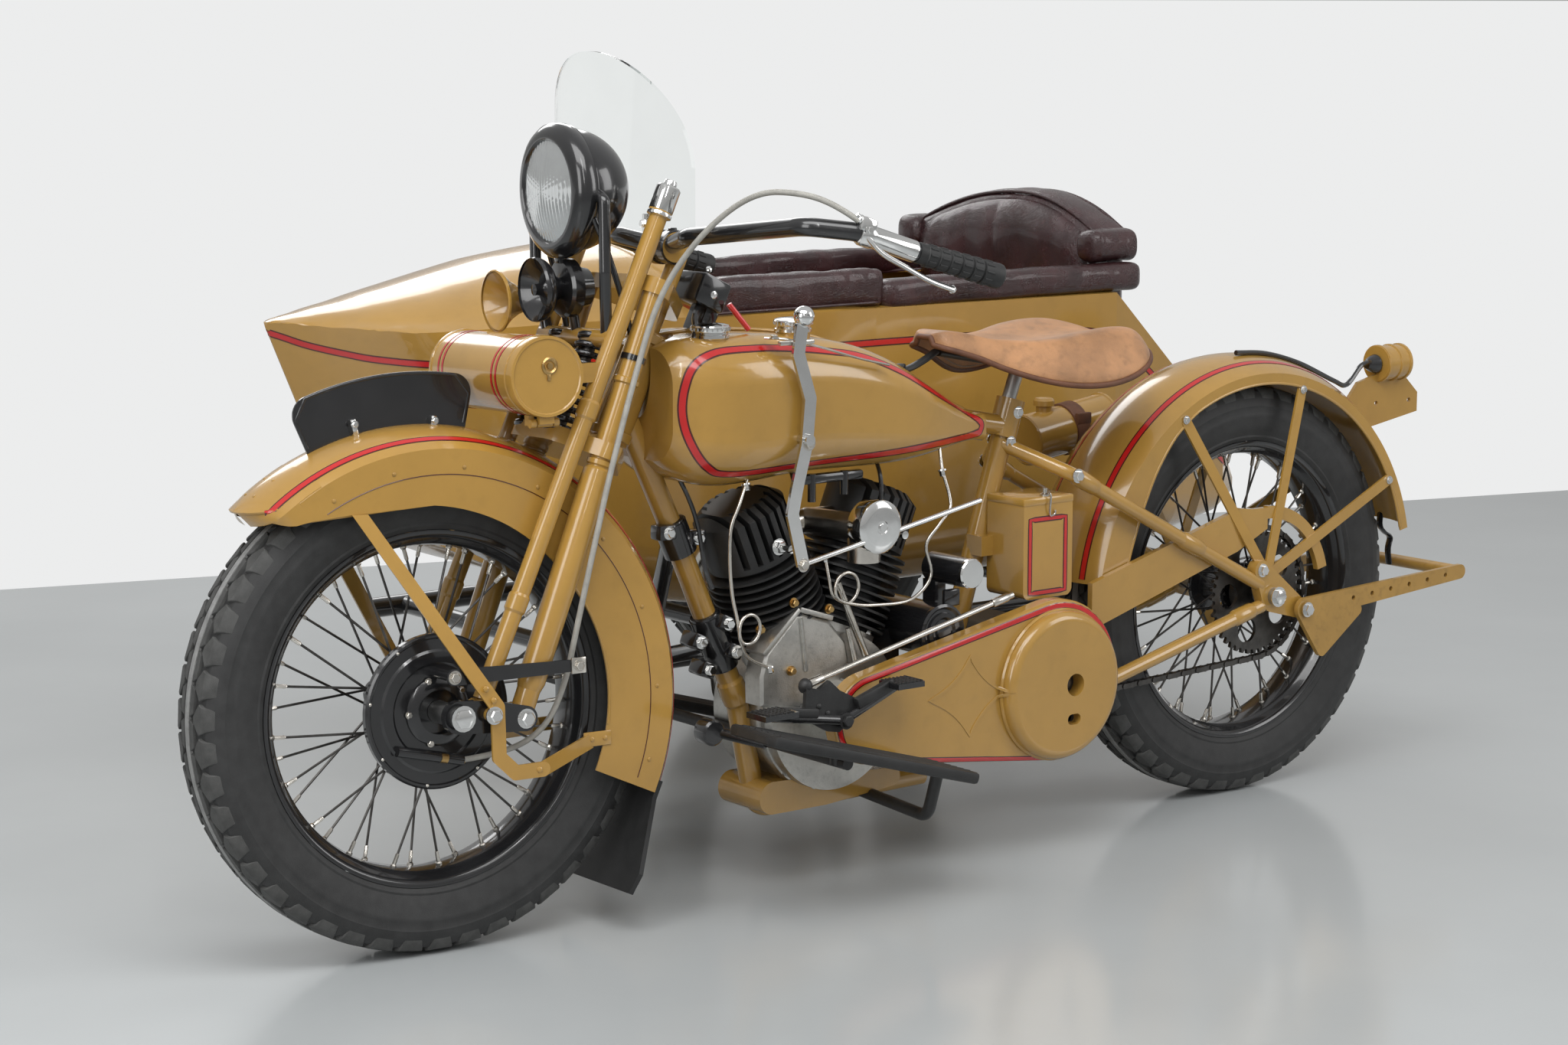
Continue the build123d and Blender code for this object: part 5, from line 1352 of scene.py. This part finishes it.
def make_oil_pipes():
    """Two thin pipes, each with one loop, and the short pipes between them."""
    pipes = Form()
    feed = [(1022, 78, 616), (1033, 84, 600), (1051, 92, 571), (1065, 92, 540), (1067, 92, 494),
            (1063, 92, 447), (1056, 94, 412)]
    for k in range(1, 9):
        a = math.radians(-45 * k)
        feed.append((1036 + 19 * math.cos(a), 94 + k * 0.5, 395 + 21 * math.sin(a)))
    feed += [(1050, 96, 376), (1030, 86, 352), (985, 76, 330)]
    pipes.tube(curve_points(feed, 6), 2.6, 8)
    oil = [(899, 92, 486), (897, 100, 452), (891, 102, 428)]
    for k in range(1, 9):
        a = math.radians(-45 - 45 * k)
        oil.append((868 + 22 * math.cos(a), 103 + k * 0.4, 437 + 22 * math.sin(a)))
    oil += [(856, 105, 412), (816, 104, 406), (750, 106, 407), (712, 106, 438), (720, 104, 483),
            (693, 102, 512), (667, 96, 537), (670, 80, 588), (664, 66, 622)]
    pipes.tube(curve_points(oil, 6), 2.6, 8)
    pipes.tube([(864, 78, 440), (816, 84, 330)], 5.5, 12)
    pipes.tube([(846, 80, 372), (836, 84, 322)], 4, 10)
    make("oil_pipes", pipes, "nickel", "chassis", sharp=60)


def make_engine_bright_parts():
    chrome = Form()
    for at in ((1033, 84, 598), (985, 76, 331), (899, 92, 484), (670, 80, 586)):
        chrome.bolt(at, (0, 0.3, -1), 5, 9)
    chrome.lathe([(0, -22), (36, -22), (37.5, -20), (38.5, 0), (39, 5), (38.4, 9), (34.5, 12), (27, 13.2),
                  (10, 13.8), (9, 12.6), (5.5, 12.6), (5, 15.4), (0, 15.4)], (829, 123, 524), Y, 64)
    chrome.lathe([(0, 0), (20.5, 0), (22.4, 1.6), (22.4, 7), (20.5, 9), (0, 9.6)], (659, 129, 439), Y, 40)
    for lean in (CYLINDER_LEAN, -CYLINDER_LEAN):
        d = Vector((math.sin(lean), 0, math.cos(lean)))
        plug = CRANK + d * 272
        chrome.bolt(plug + Vector((0, 70, 0)), Y, 9, 10)
        chrome.lathe([(0, 8), (4, 8), (4, 22), (6, 23), (6, 30), (0, 31)], plug + Vector((0, 70, 0)), Y,
                     14)
        for k in range(4):
            a = math.pi / 4 + k * math.pi / 2
            side = Vector((math.cos(lean), 0, -math.sin(lean)))
            base = CRANK + d * 124 + side * (56 * math.cos(a)) + Vector((0, 56 * math.sin(a), 0))
            chrome.bolt(base, d, 5, 6)
    make("engine_bright_parts", chrome, "chrome", "chassis")


def make_generator_end():
    black = Form()
    black.lathe([(0, 100), (40.6, 100), (41, 102), (41, 106), (37, 108), (33, 105), (29, 105), (28, 108),
                 (22, 109), (18, 106), (14, 106), (12, 110), (0, 111)], (688, 0, 352), Y, 48)
    black.block((668, 100, 400), (30, 8, 26), 3)
    make("generator_end", black, "black", "chassis", sharp=30)


def make_clutch_rod():
    steel = Form()
    rod_a, rod_b = Vector((985, 156, 318)), Vector((597, 148, 401))
    steel.tube([rod_a, rod_b], 4, 12)
    for end, d in ((rod_a, (rod_a - rod_b).normalized()), (rod_b, (rod_b - rod_a).normalized())):
        steel.lathe([(0, -34), (5.6, -34), (6.4, -32), (6.4, -6), (5, -2), (5, 6), (0, 6)], end, d, 14)
    make("clutch_rod", steel, "nickel", "chassis")


def make_crankcase_dress():
    alum, nuts = Form(), Form()
    alum.lathe([(112, 30), (117.5, 31), (119, 34), (119, 46), (117.5, 49), (112, 50)], CRANK, Y, 90,
               closed=True)
    gable = [(1000, 276), (1001, 318), (992, 350), (936, 402), (928, 402), (878, 386), (846, 352),
             (838, 316), (870, 280), (930, 262)]
    alum.add(*plate_form(gable, 40, 77, 5))
    for a, b in (((996, 352), (934, 408)), ((930, 408), (874, 390))):
        d = Vector((b[0] - a[0], 0, b[1] - a[1]))
        lean = Matrix.Rotation(-math.atan2(d.z, d.x), 3, "Y")
        middle = Vector(((a[0] + b[0]) / 2, 58, (a[1] + b[1]) / 2))
        alum.block(middle, (d.length + 4, 44, 8), 2, lean)
    alum.tube([(930, 77, 396), (920, 78, 318)], 3.4, 8)
    make("crankcase_ribs", alum, "aluminium", "chassis", sharp=30)
    for at in ((990, 60, 384), (944, 78, 420), (880, 78, 404), (948, 78, 322)):
        nuts.bolt(at, Y, 5.4, 8)
    make("brass_nuts", nuts, "brass", "chassis")


def make_engine_wires():
    wires = Form()
    wires.tube(curve_points([(1128, 22, 640), (1100, 30, 592), (1080, 34, 540), (1068, 34, 480),
                             (1054, 34, 446)], 8), 3.4, 8)
    for x, z in ((946, 604), (790, 606)):
        wires.tube(curve_points([(x, 80, z - 92), (x + 6, 92, z - 60), (x, 84, z - 20),
                                 (x - 14, 50, z + 14)], 8), 3.2, 8)
    wires.block((872, 66, 592), (120, 16, 14), 4)
    wires.tube([(905, 70, 600), (905, 70, 560)], 6, 12)
    wires.tube([(846, 70, 600), (846, 70, 566)], 6, 12)
    make("engine_wires", wires, "black", "chassis")


def make_crankcase_bolts():
    bolts = Form()
    for k in range(12):
        a = math.radians(12 + 30 * k)
        bolts.bolt(around(CRANK, 112, 50, a), Y, 4.2, 5)
    make("crankcase_bolts", bolts, "steel", "chassis")


def make_chain():
    line = belt((REAR_AXLE.x, AXLE_Z), 106, (CLUTCH.x, CLUTCH.z), 48, 68, 40)
    total, spots = 0.0, [0.0]
    for a, b in zip(line, line[1:] + line[:1]):
        total += (b - a).length
        spots.append(total)
    links = 2 * round(total / 15.9 / 2)
    ring = line + [line[0]]

    def at(d):
        d %= total
        low = bisect.bisect_right(spots, d) - 1
        t = (d - spots[low]) / max(1e-9, spots[low + 1] - spots[low])
        return ring[low].lerp(ring[low + 1], t)

    form = Form()
    for i in range(links):
        a, b = at(total * i / links), at(total * (i + 1) / links)
        d = (b - a).normalized()
        up = Vector((-d.z, 0, d.x))
        form.lathe([(0, -5.6), (4.6, -5.6), (4.6, 5.6), (0, 5.6)], a, Y, 12)
        for side in (1, -1):
            y0 = side * (3.0 if i % 2 else 4.6)
            verts = []
            for y in (y0, y0 + side * 1.4):
                for k in range(16):
                    t = 2 * math.pi * k / 16
                    along = math.cos(t)
                    wide = 4.9 * (1 - 0.22 * (1 - abs(along)))
                    centre = b if along > 0 else a
                    p = centre + d * (4.9 * along) + up * (wide * math.sin(t))
                    verts.append(p + Vector((0, y, 0)))
            form.add(verts, ring_faces(2, 16))
    make("roller_chain", form, "dark_steel", "chassis", replaces=("drive_chain",), sharp=40)


# Frame, tank and rear dressing

def make_frame_dress():
    bolts, black, olive = Form(), Form(), Form()
    for x, z in ((1073, 371), (1025, 392), (1058, 329), (1011, 350)):
        black.block((x, 16, z), (26, 34, 22), 4, Matrix.Rotation(math.radians(-24), 3, "Y"))
        bolts.bolt((x, 33, z), Y, 7, 8)
    down = (FRAME_FOOT - FRAME_TOP).normalized()
    for start, end in ((-6, 30), (146, 236)):
        black.lathe([(16.6, start), (21.4, start + 1), (22, start + 3), (22, end - 3), (21.4, end - 1),
                     (16.6, end)], FRAME_TOP, down, 36, closed=True)
    for x, z in ((1121, 530), (1070, 518)):
        black.block((x, 10, z), (30, 26, 22), 4)
        bolts.bolt((x, 23, z), Y, 7, 8)
    black.tube([(1052, 24, 240), (1010, 100, 228)], 8, 12)
    black.lathe([(0, 18), (18, 18), (19, 20), (19, 42), (16, 45), (0, 45)], (1058, 0, 240), Y, 28)
    make("sidecar_clamp_blocks", black, "black", "chassis")
    for x, z, reach, r in ((0, AXLE_Z, 120, 12), (27, 374, 110, 8), (-59, 304, 128, 9)):
        for side in (1, -1):
            bolts.bolt((x, side * reach, z), Y * side, r, 8)
    for x, z in ((470, 650), (484, 606)):
        for side in (1, -1):
            bolts.bolt((x, side * 21, z), Y * side, 7, 6)
    for side in (1, -1):
        for x, z in ((175, 622), (-85, 651), (-294, 487)):
            bolts.bolt((x, side * 82, z), Y * side, 5, 5)
        bolts.bolt((424, side * 106, 559), Y * side, 8, 7)
        stay_top, stay_low = Vector((425, side * 97, 560)), Vector((24, side * 101, 350))
        stay = (stay_low - stay_top).normalized()
        for t in (0.06, 0.62):
            olive.lathe([(10.6, -26), (13, -20), (13.6, 0), (13, 20), (10.6, 26)],
                        stay_top.lerp(stay_low, t), stay, 28, closed=True)
        lower = (Vector((20, side * 101, 315)) - Vector((470, side * 100, 206))).normalized()
        for t in (0, 380):
            olive.collar(10.6, 13.2, 24, 18, Vector((430, side * 100, 216)) + lower * t, lower, 28)
    olive.lathe([(16.6, -22), (20, -16), (21, 0), (20, 16), (16.6, 22)], FRAME_TOP + down * 276, down, 32,
                closed=True)
    head_low, head_high = (HEAD + HEAD_UP * ((z - HEAD.z) / HEAD_UP.z) for z in (664, 808))
    for t in (0.06, 0.94):
        olive.collar(26.6, 30, 8, 6, head_low.lerp(head_high, t), HEAD_UP, 40)
    make("frame_bolts", bolts, "chrome", "chassis")
    make("frame_lugs", olive, "olive", "chassis", sharp=25)


def make_filler_caps():
    chrome = Form()
    for x in (1075, 930):
        chrome.lathe([(24.2, -9), (26.5, -7), (26.5, -3), (25, -2), (25, 1), (27, 2), (27.6, 4),
                      (27.6, 8), (26, 10), (20, 11.6), (8, 12.4), (0, 12.4), (0, -9)], (x, 58, 811), Z,
                     48)
        for k in range(24):
            a = 2 * math.pi * k / 24
            knurl = Vector((x + 27.4 * math.cos(a), 58 + 27.4 * math.sin(a), 814))
            chrome.tube([knurl, knurl + Z * 4], 1.2, 5)
    make("filler_caps", chrome, "chrome", "chassis")


def make_shift_gate():
    nickel = Form()
    nickel.tube(curve_points([(1010, 96, 802), (985, 118, 800), (930, 122, 786), (860, 118, 766),
                              (800, 112, 752)], 8), 3.6, 8, flat=0.5)
    nickel.block((975, 123, 796), (60, 8, 6), 1.5)
    nickel.bolt((1005, 112, 803), Z, 5, 4)
    nickel.bolt((960, 133, 655), Y, 8, 6)
    nickel.bolt((969, 133, 484), Y, 7, 6)
    make("shift_gate", nickel, "nickel", "chassis")


def make_switch_box():
    """Switch box ahead of the tank, with its lock, loop and pipe."""
    black, key, red = Form(), Form(), Form()
    lean = Matrix.Rotation(math.radians(-26), 3, "Y")
    black.block((1052, 0, 862), (52, 74, 44), 5, lean)
    black.block((1046, 0, 826), (24, 40, 46), 3, lean)
    black.tube(curve_points([(1070, 24, 846), (1088, 40, 830), (1096, 52, 812), (1110, 60, 786),
                             (1130, 62, 740)], 8), 4.5, 8)
    make("switch_box", black, "black", "chassis")
    key.lathe([(0, 0), (5.5, 0), (5.5, 2), (3.6, 3), (0, 3)], (1054, 37, 860), Y, 20)
    key.collar(2.2, 5, 1.4, 1.4, (1040, 8, 892), X, 20)
    key.bolt((1060, -16, 885), Z, 4, 4)
    make("switch_fittings", key, "chrome", "chassis")
    red.tube([(1032, 44, 846), (1004, 52, 810)], 4.2, 12)
    make("red_pipe", red, "red", "chassis")


def make_tank_seam():
    seam = Form()
    line = curve_points([(1150, 0, 797), (1100, 0, 808), (980, 0, 805), (840, 0, 784), (700, 0, 724),
                         (556, 0, 658)], 8)
    seam.tube(line, 2.4, 8)
    make("tank_seam", seam, "olive", "chassis", sharp=60)


def make_battery_dress():
    lid, latch = Form(), Form()
    lid.block((481, 63, 527), (101, 85, 12), 3)
    make("battery_lid", lid, "olive", "chassis")
    latch.tube(curve_points([(482, 105, 540), (482, 110, 534), (482, 108, 512), (478, 106, 504),
                             (470, 106, 506), (470, 107, 512)], 6), 1.6, 8)
    latch.lathe([(0, 0), (7, 0), (7, 3), (4, 5), (4, 12), (0, 13)], (482, 96, 533), Z, 20)
    make("battery_latch", latch, "nickel", "chassis")


def make_footboard_mats():
    mats = Form()
    run = (FOOTBOARD_FRONT - FOOTBOARD_REAR).normalized()
    up = Vector((-run.z, 0, run.x))
    turn = Matrix((run, Y, run.cross(Y))).transposed()
    mid = (FOOTBOARD_REAR + FOOTBOARD_FRONT) / 2
    for side in (1, -1):
        centre = mid + Vector((0, side * FOOTBOARD_Y, 0)) + up * 6
        mats.block(centre - up * 5, (378, 107, 17), 5, turn)
        for k in range(7):
            y = -42 + 14 * k
            mats.tube([centre + Y * y - run * 176 + up * 2, centre + Y * y + run * 176 + up * 2], 2.8, 8)
    make("footboard_mats", mats, "rubber", "chassis", sharp=40)


def make_pedal_pads():
    pads = Form()
    for x, y, z in ((1058, 178, 294), (826, 178, 309)):
        for i in range(7):
            dx = -21 + 7 * i
            pads.tube([(x + dx, y - 20, z), (x + dx, y + 20, z)], 2.0, 6)
        for k in range(5):
            dy = -16 + 8 * k
            pads.tube([(x - 23, y + dy, z), (x + 23, y + dy, z)], 1.5, 6)
    make("pedal_pads", pads, "rubber", "chassis")


def make_pedal_plate():
    plate = Form()
    outline = [(990, 318), (968, 312), (948, 322), (930, 306), (898, 290), (890, 278), (906, 266),
               (930, 246), (952, 250), (974, 262), (992, 280)]
    verts = [Vector((x, y, z)) for y in (160, 167) for x, z in outline]
    plate.add(verts, ring_faces(2, len(outline)))
    for ends, wide in ((((905, 284), (838, 306)), 7), (((975, 280), (1040, 290)), 6)):
        (xa, za), (xb, zb) = ends
        d = Vector((xb - xa, 0, zb - za))
        lean = Matrix.Rotation(-math.atan2(d.z, d.x), 3, "Y")
        plate.block(Vector(((xa + xb) / 2, 172, (za + zb) / 2)), (d.length, 12, 2.4 * wide), 3, lean)
    plate.bolt((925, 176, 263), Y, 9, 7)
    plate.dome((985, 156, 318), Y, 11, 12, 20)
    for x, z in ((952, 276), (968, 288)):
        plate.dome((x, 167, z), Y, 4.5, 3, 14)
    make("pedal_plate", plate, "black_dull", "chassis")


def make_primary_dress():
    relief, parts = Form(), Form()
    target = surface_of("primary_cover")
    points = [(742, 262), (690, 276), (664, 318), (640, 276), (596, 258), (640, 240), (664, 200),
              (690, 242)]
    line = []
    for i in range(0, 8, 2):
        a, m, b = points[i], points[i + 1], points[(i + 2) % 8]
        for k in range(12):
            t = k / 12
            x = (1 - t) ** 2 * a[0] + 2 * t * (1 - t) * m[0] + t * t * b[0]
            z = (1 - t) ** 2 * a[1] + 2 * t * (1 - t) * m[1] + t * t * b[1]
            line.append(Vector((x, 160, z)))
    relief.add(*ribbon(target, line, 5, BIKE, 1.1, 5, True, (0, -1, 0)))
    make("primary_relief", relief, "olive", "chassis", place=Matrix.Identity(4), sharp=60)
    # Black discs on the floors of the shaft hole and the slot stand in for the shade inside them: painted
    # shade.
    dark = Form()
    for x, z, r in ((474, 255, 16.6), (471, 203, 6.5), (481, 203, 6.5), (476, 203, 6.5)):
        hit, _, _, _ = target.ray_cast(BIKE @ Vector((x, 260, z)), -Y)
        y = (BIKE.inverted() @ hit).y
        dark.lathe([(0, -0.4), (r, -0.4), (r, 0.5), (0, 0.5)], (x, y, z), Y, 32)
        if r > 10:
            parts.lathe([(0, 0), (9, 0), (9, 4), (7, 6.5), (3, 7), (0, 6)], (x, y, z), Y, 28)
    make("primary_opening_shade", dark, "black_dull", "chassis")
    make("clutch_shaft_end", parts, "dark_steel", "chassis")
    bead = Form()
    bead.lathe([(112, 140), (115, 140.4), (115.4, 143), (113.4, 146), (112, 146)], CLUTCH, Y, 90,
               closed=True)
    make("clutch_dome_bead", bead, "olive", "chassis", sharp=40)


def make_rear_dress():
    lens, black, olive, strap_form = Form(), Form(), Form(), Form()
    lens.lathe([(0, 2), (22, 2), (22, 5), (15, 9), (0, 11)], TAIL_LAMP, -X, 40)
    make("tail_lens", lens, "lamp_red", "chassis")
    for along in (2, 24, 52):
        olive.collar(28.6, 31, 3, 2, TAIL_LAMP + X * along, X, 44)
    black.tube(curve_points([(-346, 0, 668), (-330, 4, 672), (-300, 8, 668), (-262, 12, 640),
                             (-225, 16, 650), (-140, 20, 684), (-60, 22, 705), (10, 24, 711)], 8), 4.2, 8)
    black.lathe([(0, 0), (14, 0), (16, 4), (12, 16), (7, 24), (0, 24)], TAIL_LAMP + X * 56, X, 28)
    black.tube(curve_points([(-368, 0, 420), (-366, 0, 396), (-378, 0, 382), (-392, 0, 372),
                             (-388, 0, 352), (-392, 0, 326)], 8), 7, 8, flat=0.4)
    make("tail_wire", black, "black", "chassis")
    tin = CANISTER_REAR
    d = (CANISTER_FRONT - tin).normalized()
    for t in (2, 170):
        olive.collar(39.5, 42, 4, 2, tin + d * t, d, 44)
    olive.lathe([(0, 34), (13, 34), (13, 46), (17, 48), (17, 56), (14, 60), (0, 61)], tin + d * 132, Z,
                28)
    make("rear_olive_trim", olive, "olive", "chassis", sharp=30)
    strap_form.collar(40.2, 42.6, 14, 13, tin + d * 80, d, 48)
    strap_form.block(tin + d * 80 + Vector((0, 38, 20)), (30, 8, 18), 2)
    make("canister_strap", strap_form, "strap", "chassis")


def make_fender_edges():
    drops = Form()
    for side in (1, -1):
        turns = [9 + 158 * k / 80 for k in range(81)]
        edge = [around(REAR_AXLE, between(REAR_SKIRT, a) + 1, side * REAR_FENDER_SIDE, math.radians(a))
                for a in turns]
        drops.tube(edge, 2.6, 8)
        drops.tube(circle_line(SIDE_AXLE, SKIRT_R, side * SIDECAR_FENDER_SIDE, 16, 164, 60), 2.0, 8)
    make("fender_edges", drops, "olive", "chassis", sharp=60)


def make_cockpit_edge():
    """Leather bead round the opening of the sidecar's body."""
    edge = Form()
    target = surface_of("sidecar_body")
    x0, x1, half, r = -120, 705, 244, 90
    line = []
    for cx, cy, start in ((x1 - r, half - r, 0), (x0 + r, half - r, 90), (x0 + r, r - half, 180),
                          (x1 - r, r - half, 270)):
        for k in range(13):
            a = math.radians(start + 90 * k / 12)
            line.append(Vector((cx + r * math.cos(a), cy + r * math.sin(a), 0)))
    rim = []
    for p in filled(line, 20):
        out = Vector((p.x - 290, p.y, 0)).normalized() * 4
        q = BIKE @ Vector((p.x + out.x, SIDECAR_Y + p.y + out.y, 1000))
        hit, _, _, _ = target.ray_cast(q, -Z)
        if hit is not None and hit.z > 0.6:
            rim.append(BIKE.inverted() @ hit)
    edge.tube(rim, 4.2, 8, closed=True)
    make("cockpit_edge", edge, "oxblood", "chassis", sharp=60)


def make_windshield_clips():
    clips = Form()
    for side in (1, -1):
        y = SIDECAR_Y + side * 120
        clips.lathe([(9, 0), (12, 1), (12, 10), (9, 11)], (752, y, 872), Z, 24, closed=True)
        clips.bolt((760, y, 915), X, 6, 6)
        for x in (620, -60):
            clips.bolt((x, SIDECAR_Y + side * 200, 276), Z, 7, 6)
    make("windshield_clips", clips, "chrome", "chassis")


# Run

make_camera()
make_stage()
make_light()
make_materials()
dress_nodes()
make_shells()
make_fender_lip()
make_seat_post()
make_wheels()
make_valves()
make_cable()
make_saddle()
make_sidecar_pads()
make_sidecar_seat()
make_seat_back()
make_stripes()
make_headlamp()
make_fork_dress()
make_fork_springs()
make_second_horn()
make_strap_ends()
make_brake_dress()
make_grips()
make_handlebar_clamp()
make_hand_lever()
make_tool_drum_dress()
make_fender_dress()
make_oil_pipes()
make_engine_bright_parts()
make_generator_end()
make_clutch_rod()
make_crankcase_dress()
make_engine_wires()
make_crankcase_bolts()
make_chain()
make_frame_dress()
make_filler_caps()
make_shift_gate()
make_switch_box()
make_tank_seam()
make_battery_dress()
make_footboard_mats()
make_pedal_pads()
make_pedal_plate()
make_primary_dress()
make_rear_dress()
make_fender_edges()
make_cockpit_edge()
make_windshield_clips()

bpy.context.scene.view_settings.view_transform = "Standard"
